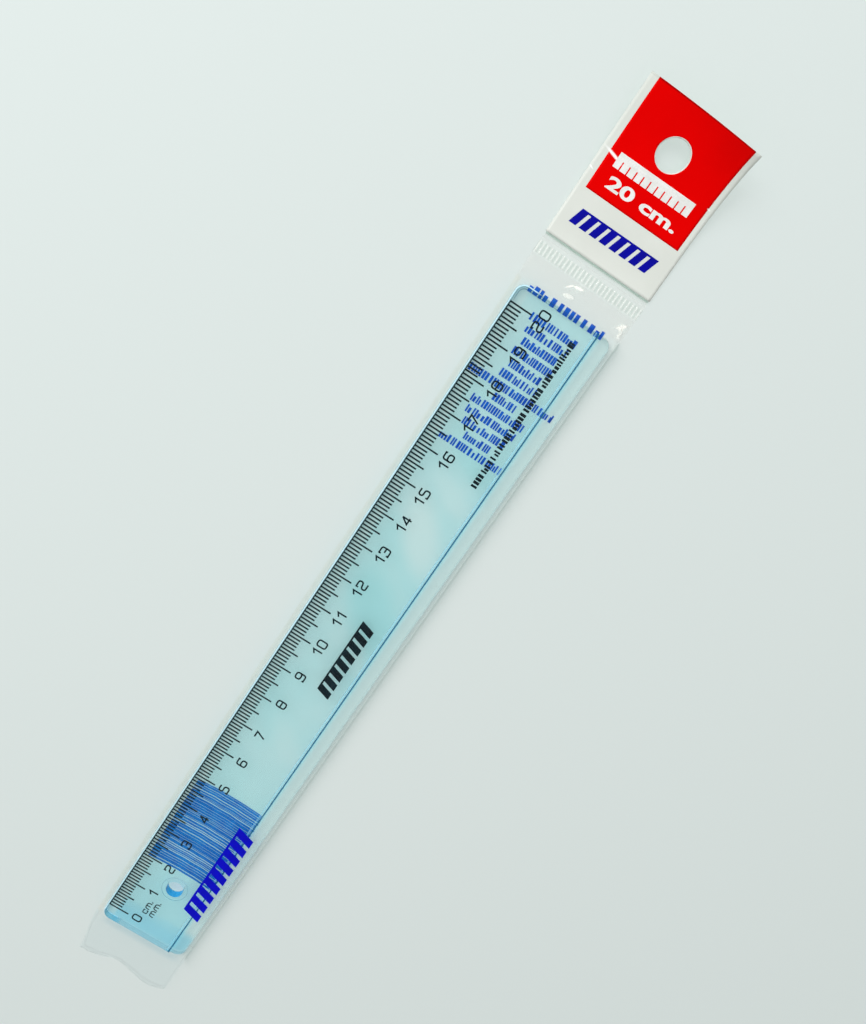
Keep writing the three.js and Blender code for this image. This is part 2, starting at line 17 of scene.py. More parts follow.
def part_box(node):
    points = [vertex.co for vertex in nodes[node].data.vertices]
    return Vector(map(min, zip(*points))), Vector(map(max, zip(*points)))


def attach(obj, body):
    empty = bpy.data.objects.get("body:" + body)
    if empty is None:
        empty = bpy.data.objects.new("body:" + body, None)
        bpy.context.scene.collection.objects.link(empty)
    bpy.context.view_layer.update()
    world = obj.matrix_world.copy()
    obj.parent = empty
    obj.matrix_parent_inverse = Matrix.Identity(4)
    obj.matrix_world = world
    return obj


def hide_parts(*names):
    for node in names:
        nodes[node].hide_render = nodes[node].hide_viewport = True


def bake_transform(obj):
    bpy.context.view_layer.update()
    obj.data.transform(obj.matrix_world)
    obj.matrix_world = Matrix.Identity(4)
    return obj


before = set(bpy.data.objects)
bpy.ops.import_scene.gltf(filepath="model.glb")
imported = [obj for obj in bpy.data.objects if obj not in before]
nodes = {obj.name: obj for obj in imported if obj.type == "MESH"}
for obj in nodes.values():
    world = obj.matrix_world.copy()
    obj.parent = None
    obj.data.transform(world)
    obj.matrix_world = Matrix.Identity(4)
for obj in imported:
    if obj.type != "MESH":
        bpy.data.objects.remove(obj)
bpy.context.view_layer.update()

scene = bpy.context.scene
mm = 0.001

# %% [markdown]
# ## Where things are
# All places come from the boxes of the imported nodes, so that a changed size in the model moves the looks
# with it. The ruler's 0 mark is a fixed distance inside the moulding's end.

# %% Places read from the model
ruler_low, ruler_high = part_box("ruler_body")
front_low, front_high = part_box("pouch_front_film")
back_low, back_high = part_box("pouch_back_film")
weld_low, weld_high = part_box("side_weld_graduated")
crimp_low, crimp_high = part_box("crimp_seal")
tail_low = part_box("header_film_tail")[0]
card_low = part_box("header_card")[0]

zero_margin = 4.9 * mm
zero_x = ruler_low.x + zero_margin
ruler_middle_x = (ruler_low.x + ruler_high.x) / 2
ruler_half_length = (ruler_high.x - ruler_low.x) / 2
ruler_half_width = (ruler_high.y - ruler_low.y) / 2
pouch_half_width = weld_high.y
film_top = front_high.z
film_thickness = back_high.z - back_low.z
print("0 mark at", round(zero_x / mm, 2), "mm, film top at", round(film_top / mm, 2), "mm")

# %% [markdown]
# ## The camera
# The object was seen from nearly straight above its 20 end, tilted by some 15 degrees, with the ruler
# running up and to the right. The lens is a short one, so the 0 end is drawn a little smaller.

# %% Camera
def new_object(name, data):
    made = bpy.data.objects.new(name, data)
    scene.collection.objects.link(made)
    return made


def aim_along(thing, way, roll=0.0):
    """Turn a camera or a lamp to look along a direction, with its top up and then rolled."""
    thing.rotation_mode = "QUATERNION"
    thing.rotation_quaternion = way.to_track_quat("-Z", "Y") @ Quaternion((0, 0, 1), roll)


zero_mark = Vector((zero_x, 0, 0))
camera_place = zero_mark + Vector((206.424, 24.157, 235.632)) * mm
camera_target = zero_mark + Vector((147.266, -0.360, 2.7)) * mm
camera_roll = math.radians(-168.8715)

camera_data = bpy.data.cameras.new("camera")
camera_data.lens = 34.3133
camera_data.sensor_width = 36
camera_data.clip_start = 10 * mm
camera = new_object("camera", camera_data)
camera.location = camera_place
aim_along(camera, camera_target - camera_place, camera_roll)
scene.camera = camera
print("camera is", round((camera_place - camera_target).length / mm), "mm away")

# %% [markdown]
# ## Helpers for materials
# A material is a chain of shader nodes. These helpers add a node, link or set its sockets and give its
# output back, so that a chain reads like a sum. Colours are written as they look on a screen, from 0 to
# 255, and turned into the linear values that a renderer adds up.

# %% Node helpers
screen_steps = 255
screen_curve = 2.2

# A Mix node has sockets for each type of data, and those for colour are these
mix_share, mix_first, mix_second, mix_result = 0, 6, 7, 2


def paint(red, green, blue):
    return (*[(value / screen_steps) ** screen_curve for value in (red, green, blue)], 1)


def connect(tree, socket, value):
    if isinstance(value, bpy.types.NodeSocket):
        tree.links.new(value, socket)
    else:
        socket.default_value = value


def add(tree, kind, inputs=(), **settings):
    made = tree.nodes.new("ShaderNode" + kind)
    for name, value in settings.items():
        setattr(made, name, value)
    for key, value in dict(inputs).items():
        connect(tree, made.inputs[key], value)
    return made


def axes_of(tree, vector):
    return add(tree, "SeparateXYZ", {0: vector}).outputs


def blend_colour(tree, share, first, second):
    made = add(tree, "Mix", data_type="RGBA", clamp_factor=True)
    connect(tree, made.inputs[mix_share], share)
    connect(tree, made.inputs[mix_first], first)
    connect(tree, made.inputs[mix_second], second)
    return made.outputs[mix_result]


def colour_layers(tree, colour, layers):
    """Lay colours over a first one, each where its mask says."""
    for mask, layer in layers:
        colour = blend_colour(tree, mask, colour, layer)
    return colour


def blend_shader(tree, share, first, second):
    made = add(tree, "MixShader")
    connect(tree, made.inputs[0], share)
    tree.links.new(first, made.inputs[1])
    tree.links.new(second, made.inputs[2])
    return made.outputs[0]


print("middle grey is", round(paint(128, 128, 128)[0], 3), "of full light")


# %% Sums on numbers and vectors
def calc(tree, operation, *values, clamp=False):
    return add(tree, "Math", enumerate(values), operation=operation, use_clamp=clamp).outputs[0]


def chain(tree, operation, values):
    """One operation over several values, from left to right."""
    whole = values[0]
    for value in values[1:]:
        whole = calc(tree, operation, whole, value)
    return whole


def product(tree, *values):
    return chain(tree, "MULTIPLY", values)


def strongest(tree, *values):
    return chain(tree, "MAXIMUM", values)


def rest_of(tree, mask):
    return calc(tree, "SUBTRACT", 1.0, mask)


def ramp(tree, value, low, high, start=0.0, end=1.0):
    limits = {"Value": value, "From Min": low, "From Max": high, "To Min": start, "To Max": end}
    return add(tree, "MapRange", limits, interpolation_type="SMOOTHSTEP").outputs[0]


def vector_calc(tree, operation, *values):
    made = add(tree, "VectorMath", enumerate(values), operation=operation)
    return made.outputs["Value" if operation == "LENGTH" else "Vector"]


def flat_length(tree, vector):
    """How long a vector looks from straight above."""
    return vector_calc(tree, "LENGTH", vector_calc(tree, "MULTIPLY", vector, (1, 1, 0)))


def noise_of(tree, place, scale, detail, **more):
    inputs = {"Vector": place, "Scale": scale, "Detail": detail, **more}
    return add(tree, "TexNoise", inputs).outputs[0]


def bump_normal(tree, height, strength, distance=1.0 * mm):
    return add(tree, "Bump", {"Strength": strength, "Distance": distance, "Height": height}).outputs[0]


# %% Starting and finishing a material
def new_material(name):
    material = bpy.data.materials.new(name)
    material.use_nodes = True
    material.node_tree.nodes.clear()
    return material, material.node_tree


def finish_material(tree, shader):
    output = add(tree, "OutputMaterial")
    tree.links.new(shader, output.inputs["Surface"])


def finish_pale_shadow(tree, shader, passed):
    """Finish a material that lets a share of the light through to what lies under it."""
    through = add(tree, "BsdfTransparent").outputs[0]
    shadow = product(tree, add(tree, "LightPath").outputs["Is Shadow Ray"], passed)
    finish_material(tree, blend_shader(tree, shadow, shader, through))


def object_places(tree, middle=(0, 0, 0)):
    """Object coordinates in millimetres, counted from middle."""
    source = add(tree, "TexCoord").outputs["Object"]
    shift = [-value / mm for value in middle]
    mapping = add(tree, "Mapping", {"Vector": source, "Location": shift, "Scale": (1 / mm,) * 3})
    return mapping.outputs[0]


# %% [markdown]
# ## Effects that several materials share
# A node group is built once and used with other values in each material. Here one draws a soft line, one
# measures how far a point is inside a plate with round corners, one makes cloudy patches, one the ripples
# of thin film, one a short tapered stroke, for creases, and one the fine unevenness of printed ink.

# %% Group helpers
def new_group(name, inputs, outputs):
    group = bpy.data.node_groups.new(name, "ShaderNodeTree")
    for label, kind, value in inputs:
        socket = group.interface.new_socket(name=label, in_out="INPUT", socket_type="NodeSocket" + kind)
        if value is not None:
            socket.default_value = value
    for label, kind in outputs:
        group.interface.new_socket(name=label, in_out="OUTPUT", socket_type="NodeSocket" + kind)
    start = group.nodes.new("NodeGroupInput")
    end = group.nodes.new("NodeGroupOutput")
    return group, start.outputs, end.inputs


def use_group(tree, group, **inputs):
    made = tree.nodes.new("ShaderNodeGroup")
    made.node_tree = group
    for label, value in inputs.items():
        connect(tree, made.inputs[label.replace("_", " ")], value)
    return made.outputs


# %% Soft line
soft_line, given, out = new_group(
    "soft_line",
    [("Value", "Float", 0), ("Middle", "Float", 0), ("Half Width", "Float", 1), ("Softness", "Float", 1)],
    [("Mask", "Float")],
)
away = calc(soft_line, "ABSOLUTE", calc(soft_line, "SUBTRACT", given["Value"], given["Middle"]))
edge = calc(soft_line, "ADD", given["Half Width"], given["Softness"])
soft_line.links.new(ramp(soft_line, away, given["Half Width"], edge, 1.0, 0.0), out["Mask"])


def line_mask(tree, value, middle, half_width, softness):
    made = use_group(tree, soft_line, Value=value, Middle=middle, Half_Width=half_width, Softness=softness)
    return made["Mask"]


print("made", soft_line.name)

# %% Distance inside a plate
plate_edge, given, out = new_group(
    "plate_edge",
    [
        ("Vector", "Vector", None),
        ("Half Length", "Float", 1),
        ("Half Width", "Float", 1),
        ("Radius", "Float", 1),
    ],
    [("Inside", "Float")],
)
parts = axes_of(plate_edge, given["Vector"])
beyond = []
for axis, half in (("X", "Half Length"), ("Y", "Half Width")):
    size = calc(plate_edge, "ABSOLUTE", parts[axis])
    core = calc(plate_edge, "SUBTRACT", given[half], given["Radius"])
    beyond.append(calc(plate_edge, "SUBTRACT", size, core))
outer = [calc(plate_edge, "MAXIMUM", value, 0.0) for value in beyond]
squares = [product(plate_edge, value, value) for value in outer]
corner = calc(plate_edge, "SQRT", calc(plate_edge, "ADD", *squares))
inner = calc(plate_edge, "MINIMUM", strongest(plate_edge, *beyond), 0.0)
signed = calc(plate_edge, "ADD", corner, inner)
plate_edge.links.new(calc(plate_edge, "SUBTRACT", given["Radius"], signed), out["Inside"])
print("made", plate_edge.name)

# %% Clouds and film ripples
clouds, given, out = new_group(
    "clouds",
    [("Vector", "Vector", None), ("Scale", "Float", 0.1), ("Low", "Float", 0.4), ("High", "Float", 0.6)],
    [("Mask", "Float")],
)
patches = noise_of(clouds, given["Vector"], given["Scale"], 3.0)
clouds.links.new(ramp(clouds, patches, given["Low"], given["High"]), out["Mask"])


def cloud_mask(tree, place, scale, low, high):
    return use_group(tree, clouds, Vector=place, Scale=scale, Low=low, High=high)["Mask"]


film_ripples, given, out = new_group("film_ripples", [("Vector", "Vector", None)], [("Height", "Float")])
swell = noise_of(film_ripples, given["Vector"], 0.12, 2.0, Roughness=0.4, Distortion=0.6)
crinkle = noise_of(film_ripples, given["Vector"], 0.9, 1.0, Roughness=0.3)
crinkle_share = 0.03
film_ripples.links.new(calc(film_ripples, "MULTIPLY_ADD", crinkle, crinkle_share, swell), out["Height"])
print("made", clouds.name, "and", film_ripples.name)

# %% Tapered strokes
stroke_mark, given, out = new_group(
    "stroke_mark",
    [
        ("Vector", "Vector", None),
        ("Middle", "Vector", None),
        ("Angle", "Float", 0),
        ("Size", "Vector", None),
    ],
    [("Mask", "Float")],
)
shifted = vector_calc(stroke_mark, "SUBTRACT", given["Vector"], given["Middle"])
turned = add(stroke_mark, "VectorRotate", {"Vector": shifted, "Angle": given["Angle"]},
             rotation_type="Z_AXIS").outputs[0]
reach = flat_length(stroke_mark, vector_calc(stroke_mark, "DIVIDE", turned, given["Size"]))
stroke_mark.links.new(ramp(stroke_mark, reach, 0.3, 1.0, 1.0, 0.0), out["Mask"])


def strokes_of(tree, place, strokes, start_x):
    """One mask for several strokes, each with its two ends, a width and a strength, in millimetres."""
    mask = 0.0
    for (x0, y0), (x1, y1), width, strength in strokes:
        middle = (start_x / mm + (x0 + x1) / 2, (y0 + y1) / 2, 0)
        angle = -math.atan2(y1 - y0, x1 - x0)
        size = (math.dist((x0, y0), (x1, y1)) / 2 + width / 2, width / 2, 1)
        made = use_group(tree, stroke_mark, Vector=place, Middle=middle, Angle=angle, Size=size)["Mask"]
        mask = strongest(tree, mask, product(tree, made, strength))
    return mask


print("made", stroke_mark.name)

# %% Coat of ink
ink_coat, given, out = new_group(
    "ink_coat",
    [
        ("Vector", "Vector", None),
        ("Dark", "Color", (0, 0, 0, 1)),
        ("Light", "Color", (0.1, 0.1, 0.1, 1)),
    ],
    [("Color", "Color"), ("Roughness", "Float")],
)
grain = noise_of(ink_coat, given["Vector"], 3.0, 4.0)
shade = noise_of(ink_coat, given["Vector"], 0.35, 1.0)
mixed = calc(ink_coat, "MULTIPLY_ADD", shade, 0.5, product(ink_coat, grain, 0.5))
lightness = ramp(ink_coat, mixed, 0.38, 0.66)
ink_coat.links.new(blend_colour(ink_coat, lightness, given["Dark"], given["Light"]), out["Color"])
ink_coat.links.new(ramp(ink_coat, grain, 0.3, 0.7, 0.42, 0.6), out["Roughness"])
print("node groups", [group.name for group in bpy.data.node_groups])

# %% [markdown]
# ## See-through shaders
# Clear plastic this thin hardly bends what is behind it, so it is made of a tinted transparent shader
# with a gloss that grows at low angles, and not of real glass, which is slow and noisy in seven layers.
# The gloss is left out for shadow rays, so that light reaches the print and the table under the pouch.
# Steep walls send light elsewhere on the real object, so here they have a darker tint for shadow rays.

# %% Clear shader
def clear_shader(tree, tint, shadow_tint, haze, haze_colour, gloss, roughness, normal, outline):
    """Tinted clear plastic with a share of haze, and gloss that grows towards the outline."""
    through = add(tree, "BsdfTransparent", {"Color": tint}).outputs[0]
    milky = {"Base Color": haze_colour, "Roughness": 0.5, "Specular IOR Level": 0.1, "Normal": normal}
    body = blend_shader(tree, haze, through, add(tree, "BsdfPrincipled", milky).outputs[0])
    facing = add(tree, "LayerWeight", {"Blend": 0.5, "Normal": normal}).outputs["Facing"]
    grazing = calc(tree, "POWER", facing, 5.0)
    share = calc(tree, "MULTIPLY_ADD", grazing, outline, gloss, clamp=True)
    shine = add(tree, "BsdfGlossy", {"Roughness": roughness, "Normal": normal}).outputs[0]
    coated = blend_shader(tree, share, body, shine)
    shadow = add(tree, "LightPath").outputs["Is Shadow Ray"]
    passed = add(tree, "BsdfTransparent", {"Color": shadow_tint}).outputs[0]
    return blend_shader(tree, shadow, coated, passed)


def steepness(tree, level, steep):
    """A mask of walls: none where the surface is more level than level, full where it is under steep."""
    upright = axes_of(tree, add(tree, "NewGeometry").outputs["True Normal"])["Z"]
    return ramp(tree, calc(tree, "ABSOLUTE", upright), level, steep)


# %% [markdown]
# ## The ruler's plastic
# The moulding is pale blue, stronger where one looks through more of it: at the walls, the bevelled
# edges, the wall of the hang hole and the step down to the thin lip. A real one shows these as drawn
# lines, by refraction. Here the same lines are painted, as masks over the clear shader, placed from the
# ruler's own outline, with painted light along some edges and painted sheen and shade in patches.
# Tables of masks, strengths and colours keep the many values in one place.

# %% Measures and patches of the moulding, in millimetres
half_length = ruler_half_length / mm
half_width = ruler_half_width / mm
lip_width = 3.8
step_y = ruler_low.y / mm + lip_width
corner_radius = 2.4
hole_centre = (14.95, -0.3)
hole_radius = 2.45
ring_radius = 3.65
ring_strength = 0.16
along_wobble = 2.4

# Painted sheen, where the plastic is drawn lighter as if it caught the light: two points, X from the 0
# mark and Y, a width and a strength
painted_sheen_patches = [
    ((131, -8), (148, 5), 14, 0.8),
    ((150, -8), (156, 4), 8, 0.4),
    ((66, -8), (76, 2), 9, 0.3),
    ((98, -8), (108, -3), 6, 0.4),
]

# Where painted shade makes it darker, in the same way
painted_shade_patches = [
    ((108, -8), (124, 5), 18, 0.9),
    ((160, -8), (168, 6), 12, 0.5),
]
print("plate", round(2 * half_length, 1), "x", round(2 * half_width, 1), "mm, step at", round(step_y, 2))

# %% Places of the lines and masks
# Lines that follow the outline: how far inside it, half their width and their softness
outline_lines = {
    "rim": (0.44, 0.04, 0.12),
    "inner rim": (0.9, 0.03, 0.16),
    # a painted highlight along the graduated edge
    "painted edge highlight": (0.0, 0.22, 0.12),
    "lip edge": (0.1, 0.1, 0.35),
}

# Lines along the step: how far from it, half their width and their softness
step_lines = {
    "step": (0.32, 0.12, 0.12),
    # the halo and the glow are painted light beside the step, as if it caught the light
    "halo": (0.95, 0.12, 0.2),
    "glow": (0.0, 0.2, 1.0),
}

# Where a mask starts and where it is full: a height, then distances from the ruler's middle line
above_lip = (1.25, 1.4)
graduated_side = (6.0, 9.0)
plain_side = (-8.0, -9.2)
towards_graduated = (-6.0, 10.0)
# where painted light under the ticks offsets their own shadows
painted_tick_light = (9.4, 10.4)

# The same for distances from the outline and from the 0 end, and for the far wall of the hole
inside_rim = (0.4, 0.7)
rim_starts = (2.4, 4.0)
end_band = (9.0, 7.2)
zero_part = (36.0, 16.0)
hole_far_side = (0.7, -1.0)
hole_wall_height = (0.3, 0.7)
print("lines", [*outline_lines, *step_lines])

# %% Tints and lines of the moulding
# The light that the plain plastic lets through, then each mask that changes it, a strength and a tint
base_tint = (0.908, 0.984, 0.992, 1)
plastic_tints = [
    ("clouds", 1.0, (0.868, 0.978, 0.988, 1)),
    # painted shade: a deeper tint in patches
    ("painted shade patches", 1.0, (0.83, 0.965, 0.976, 1)),
    ("fine clouds", 0.25, (0.87, 0.984, 0.998, 1)),
    ("to zero", 0.7, (0.85, 0.978, 1.0, 1)),
    # painted sheen: a lighter tint where the face would catch the light
    ("painted sheen", 1.0, (0.955, 0.997, 1.0, 1)),
    ("plain side", 1.0, (0.965, 1.0, 1.0, 1)),
    ("end band", 0.75, (0.784, 0.948, 1.0, 1)),
    # painted glow: a deeper blue tint beside the step
    ("glow", 0.3, (0.62, 0.93, 1.0, 1)),
    ("lip edge", 0.4, (0.86, 0.94, 0.94, 1)),
    # painted light: a lighter tint under the ticks, which offsets their shadows
    ("painted light under ticks", 0.9, (0.955, 1.0, 1.0, 1)),
]

# The painted lines: a mask, the share of it that is opaque, and a colour
rim_colour = paint(20, 100, 140)
plastic_lines = [
    ("rim", 0.3, rim_colour),
    ("inner rim", 0.4, rim_colour),
    # painted halo: a light line beside the step
    ("halo", 0.4, paint(150, 222, 250)),
    ("step", 0.95, paint(0, 94, 130)),
    # painted highlight along the graduated edge
    ("painted edge highlight", 0.8, paint(204, 238, 250)),
    ("ring", 1.0, paint(150, 205, 220)),
    ("outer wall", 0.2, paint(110, 190, 214)),
    ("crescent", 0.95, paint(0, 156, 218)),
]

# The light that gets through the walls, of which the wall of the 0 end passes more than the others
wall_light = (0.35, 0.42, 0.44, 1)
zero_wall_light = (0.7, 0.8, 0.83, 1)
print("tints", len(plastic_tints), "lines", len(plastic_lines))


# %% Masks along the moulding's edges
def edge_masks(tree, place):
    x, y, z = axes_of(tree, place)
    inside = use_group(tree, plate_edge, Vector=place, Half_Length=half_length, Half_Width=half_width,
                       Radius=corner_radius)["Inside"]
    wobble = noise_of(tree, place, 0.2, 2.0)
    along = calc(tree, "MULTIPLY_ADD", wobble, along_wobble, calc(tree, "ADD", x, half_length))
    lines = {name: line_mask(tree, inside, *sizes) for name, sizes in outline_lines.items()}
    for name, (shift, half, softness) in step_lines.items():
        lines[name] = line_mask(tree, y, step_y + shift, half, softness)
    upper = ramp(tree, z, *above_lip)
    graduated = ramp(tree, y, *graduated_side)
    plain = ramp(tree, y, *plain_side)
    far_end = ramp(tree, x, half_length - 5.0, half_length - 3.0)
    to_graduated = ramp(tree, y, *towards_graduated)
    rim_share = strongest(tree, graduated, product(tree, far_end, to_graduated, 0.8))
    return {
        "upper": upper,
        "rim": product(tree, lines["rim"], rim_share, ramp(tree, along, *rim_starts), upper),
        "painted edge highlight": product(tree, lines["painted edge highlight"], graduated),
        "inner rim": product(tree, lines["inner rim"], far_end, to_graduated, upper),
        "step": product(tree, lines["step"], upper),
        "halo": product(tree, lines["halo"], upper),
        "glow": lines["glow"],
        "lip edge": product(tree, lines["lip edge"], plain),
        "painted light under ticks": product(tree, ramp(tree, y, *painted_tick_light), ramp(tree, inside, *inside_rim)),
        "plain side": plain,
        "end band": ramp(tree, along, *end_band),
        "to zero": ramp(tree, along, *zero_part),
        "zero wall": ramp(tree, x, 0.5 - half_length, 0.2 - half_length),
    }


# %% Masks round the hang hole, and patches
def hole_masks(tree, place, upper):
    hole_x = zero_x / mm + hole_centre[0] - ruler_middle_x / mm
    to_hole = vector_calc(tree, "SUBTRACT", place, (hole_x, hole_centre[1], 0))
    from_hole = flat_length(tree, to_hole)
    near_ring = ramp(tree, from_hole, ring_radius + 0.3, ring_radius + 0.1)
    hole_wall = line_mask(tree, from_hole, hole_radius, 0.03, 0.02)
    wall = steepness(tree, 0.35, 0.1)
    x, y, z = axes_of(tree, to_hole)
    far_side = ramp(tree, calc(tree, "MULTIPLY_ADD", y, 0.35, x), *hole_far_side)
    return {
        "ring": product(tree, line_mask(tree, from_hole, ring_radius, 0.05, 0.14), upper, ring_strength),
        "outer wall": product(tree, wall, rest_of(tree, near_ring)),
        "crescent": product(tree, wall, hole_wall, far_side, ramp(tree, z, *hole_wall_height)),
    }


def patch_masks(tree, place):
    start_x = zero_x - ruler_middle_x
    return {
        "clouds": cloud_mask(tree, place, 0.045, 0.3, 0.75),
        "fine clouds": cloud_mask(tree, place, 0.16, 0.35, 0.7),
        # painted sheen in patches
        "painted sheen": strokes_of(tree, place, painted_sheen_patches, start_x),
        # painted shade in patches
        "painted shade patches": strokes_of(tree, place, painted_shade_patches, start_x),
    }


# %% Clear blue plastic
def clear_blue_plastic():
    material, tree = new_material("clear_blue_plastic")
    place = object_places(tree, (ruler_middle_x, 0, 0))
    masks = edge_masks(tree, place)
    masks.update(hole_masks(tree, place, masks["upper"]))
    masks.update(patch_masks(tree, place))
    tint = colour_layers(tree, base_tint, [
        (product(tree, masks[name], strength), layer) for name, strength, layer in plastic_tints
    ])
    line_colour = colour_layers(tree, rim_colour, [
        (masks[name], colour) for name, strength, colour in plastic_lines
    ])
    line_share = strongest(tree, *[
        product(tree, masks[name], strength) for name, strength, colour in plastic_lines
    ])
    wall_shadow = blend_colour(tree, masks["zero wall"], wall_light, zero_wall_light)
    shadow_tint = blend_colour(tree, masks["outer wall"], tint, wall_shadow)
    normal = bump_normal(tree, noise_of(tree, place, 0.1, 1.0), 0.25)
    shader = clear_shader(tree, tint, shadow_tint, line_share, line_colour, gloss=0.01, roughness=0.06,
                          normal=normal, outline=0.5)
    finish_material(tree, shader)
    return material


clear_blue = clear_blue_plastic()
print("made", clear_blue.name, "with", len(clear_blue.node_tree.nodes), "nodes")

# %% [markdown]
# ## Films and inks
# The pouch is polypropylene film: nearly invisible, with a faint milky veil, soft ripples and small
# glints painted as white streaks where it was creased. Painted shadows lie on it at the header, past the
# ruler's 0 end and beside its plain side, a painted sheen beyond its 20 end, and painted shade and
# highlights on the crimp's ribs. Inks are matt patches with a fine uneven coat, and lie so close to
# what is behind them that their own shadow hardly shows.

# %% Ribs, painted glints and tints of the film
rib_pitch = 1.1 * mm
rib_height = 0.15 * mm
rib_start = crimp_low.x + 0.3 * mm
rib_end = rib_start + 3.1 * mm
rib_fade = 0.3

# Each painted glint runs along a crease between two points, X from the 0 mark and Y, and has a width
# and a strength
film_glints = [
    ((210.8, 2.0), (211.2, -0.4), 0.8, 0.9),
    ((209.6, 3.6), (210.9, 2.2), 0.6, 0.5),
    ((208.0, 3.0), (208.4, 0.9), 1.6, 0.25),
    ((208.2, -11.5), (210.4, -13.9), 0.6, 0.8),
    ((208.0, -12.9), (210.0, -12.5), 0.6, 0.8),
    ((206.4, -13.2), (208.4, -13.4), 0.5, 0.6),
]

# The light that each part of the film lets through
film_tints = {
    "below the ruler": (0.989, 0.993, 0.994, 1),
    "beyond the ruler": (0.996, 0.994, 0.993, 1),
    # painted shade: the film beside the ruler's plain side, where its shadow falls
    "plain side": (0.997, 1.0, 0.998, 1),
    "graduated side": (1.0, 0.994, 0.986, 1),
    # painted shadow: a dark line on the film under the header's lower edge
    "painted shadow at the header": (0.86, 0.90, 0.88, 1),
    # painted shadow on the front film just past the ruler's 0 end
    "painted shadow past the 0 end": (0.93, 0.958, 0.97, 1),
    # painted shade in the grooves between the crimp's ribs
    "painted shade in rib grooves": (0.958, 0.966, 0.958, 1),
}
slope_light = (0.66, 0.72, 0.71, 1)
film_haze_colour = paint(248, 249, 243)
# painted highlight on the crests of the crimp's ribs
painted_rib_highlight = 0.13
# painted sheen: a whiter veil on the film beyond the ruler's 20 end, as if it reflected the light
painted_far_sheen = 0.02
film_roughness = 0.09
print("ribs from", round(rib_start / mm, 2), "to", round(rib_end / mm, 2), "mm")


# %% Films
def film_masks(tree, place):
    x, y, z = axes_of(tree, place)
    zero_end = ruler_low.x / mm
    far_end = ruler_high.x / mm
    beyond = ramp(tree, x, far_end, far_end + 1.5)
    below = ramp(tree, x, zero_end, zero_end - 1.5)
    beside = rest_of(tree, strongest(tree, beyond, below))
    near_end = ramp(tree, x, zero_end - 2.0, zero_end)
    # painted shadow on the front film just past the ruler's 0 end
    painted_end_shadow = product(tree, near_end, ramp(tree, x, zero_end + 1.6, zero_end + 0.2))
    within = ramp(tree, calc(tree, "ABSOLUTE", y), half_width + 0.4, half_width - 3.0)
    wave = calc(tree, "MULTIPLY", y, 2 * math.pi / (rib_pitch / mm))
    ribs = ramp(tree, calc(tree, "COSINE", wave), -0.2, 0.7)
    ends = ramp(tree, x, rib_start / mm, rib_start / mm + rib_fade)
    ends = product(tree, ends, ramp(tree, x, rib_end / mm, rib_end / mm - rib_fade))
    return {
        "below the ruler": below,
        "beyond the ruler": beyond,
        # painted shade beside the ruler's plain side
        "plain side": product(tree, ramp(tree, y, -half_width, -half_width - 0.4), beside),
        "graduated side": product(tree, ramp(tree, y, half_width, half_width + 0.4), beside),
        # painted shadow under the header's lower edge
        "painted shadow at the header": line_mask(tree, x, card_low.x / mm - 0.15, 0.12, 0.3),
        "painted shadow past the 0 end": product(tree, painted_end_shadow, within, ramp(tree, z, 0.5, 0.9)),
        "ribs": product(tree, ribs, ends),
        "painted shade in rib grooves": product(tree, rest_of(tree, ribs), ends),
        "slope": product(tree, steepness(tree, 0.8, 0.45), ramp(tree, y, 0.0, -1.0), beside),
    }


def film_material(name, tint, haze, gloss, ripple, outline, ribs=0.0):
    material, tree = new_material(name)
    place = object_places(tree)
    masks = film_masks(tree, place)
    masks["painted shade in rib grooves"] = product(tree, masks["painted shade in rib grooves"], ribs)
    tint = colour_layers(tree, tint, [(masks[part], layer) for part, layer in film_tints.items()])
    shadow_tint = blend_colour(tree, masks["slope"], tint, slope_light)
    share = calc(tree, "MULTIPLY_ADD", cloud_mask(tree, place, 0.05, 0.35, 0.7), haze * 0.6, haze)
    # painted sheen beyond the ruler's 20 end
    share = calc(tree, "MULTIPLY_ADD", masks["beyond the ruler"], painted_far_sheen, share)
    # painted highlight on the rib crests
    share = calc(tree, "ADD", share, product(tree, masks["ribs"], painted_rib_highlight * ribs))
    # painted glints: white haze along the creases
    share = strongest(tree, share, strokes_of(tree, place, film_glints, zero_x))
    ripples = use_group(tree, film_ripples, Vector=place)["Height"]
    normal = bump_normal(tree, ripples, ripple)
    shader = clear_shader(tree, tint, shadow_tint, share, film_haze_colour, gloss, film_roughness,
                          normal, outline)
    finish_material(tree, shader)
    return material


clear_film = film_material(
    "clear_film", (0.998, 0.999, 0.999, 1), haze=0.002, gloss=0.006, ripple=0.4, outline=0.22,
)
weld_film = film_material(
    "weld_film", (0.999, 0.999, 0.999, 1), haze=0.004, gloss=0.002, ripple=0.1, outline=0.02,
)
crimped_film = film_material(
    "crimped_film", (0.985, 0.987, 0.984, 1), haze=0.02, gloss=0.010, ripple=0.3, outline=0.15, ribs=1.0,
)
print("made", clear_film.name, weld_film.name, "and", crimped_film.name)


# %% Inks
ink_light_passed = 0.9


def ink_material(name, dark, light, opacity=1.0):
    material, tree = new_material(name)
    coat = use_group(tree, ink_coat, Vector=object_places(tree), Dark=dark, Light=light)
    surface = add(tree, "BsdfPrincipled", {
        "Base Color": coat["Color"],
        "Roughness": coat["Roughness"],
        "Specular IOR Level": 0.1,
        "Alpha": opacity,
    })
    finish_pale_shadow(tree, surface.outputs[0], ink_light_passed)
    return material


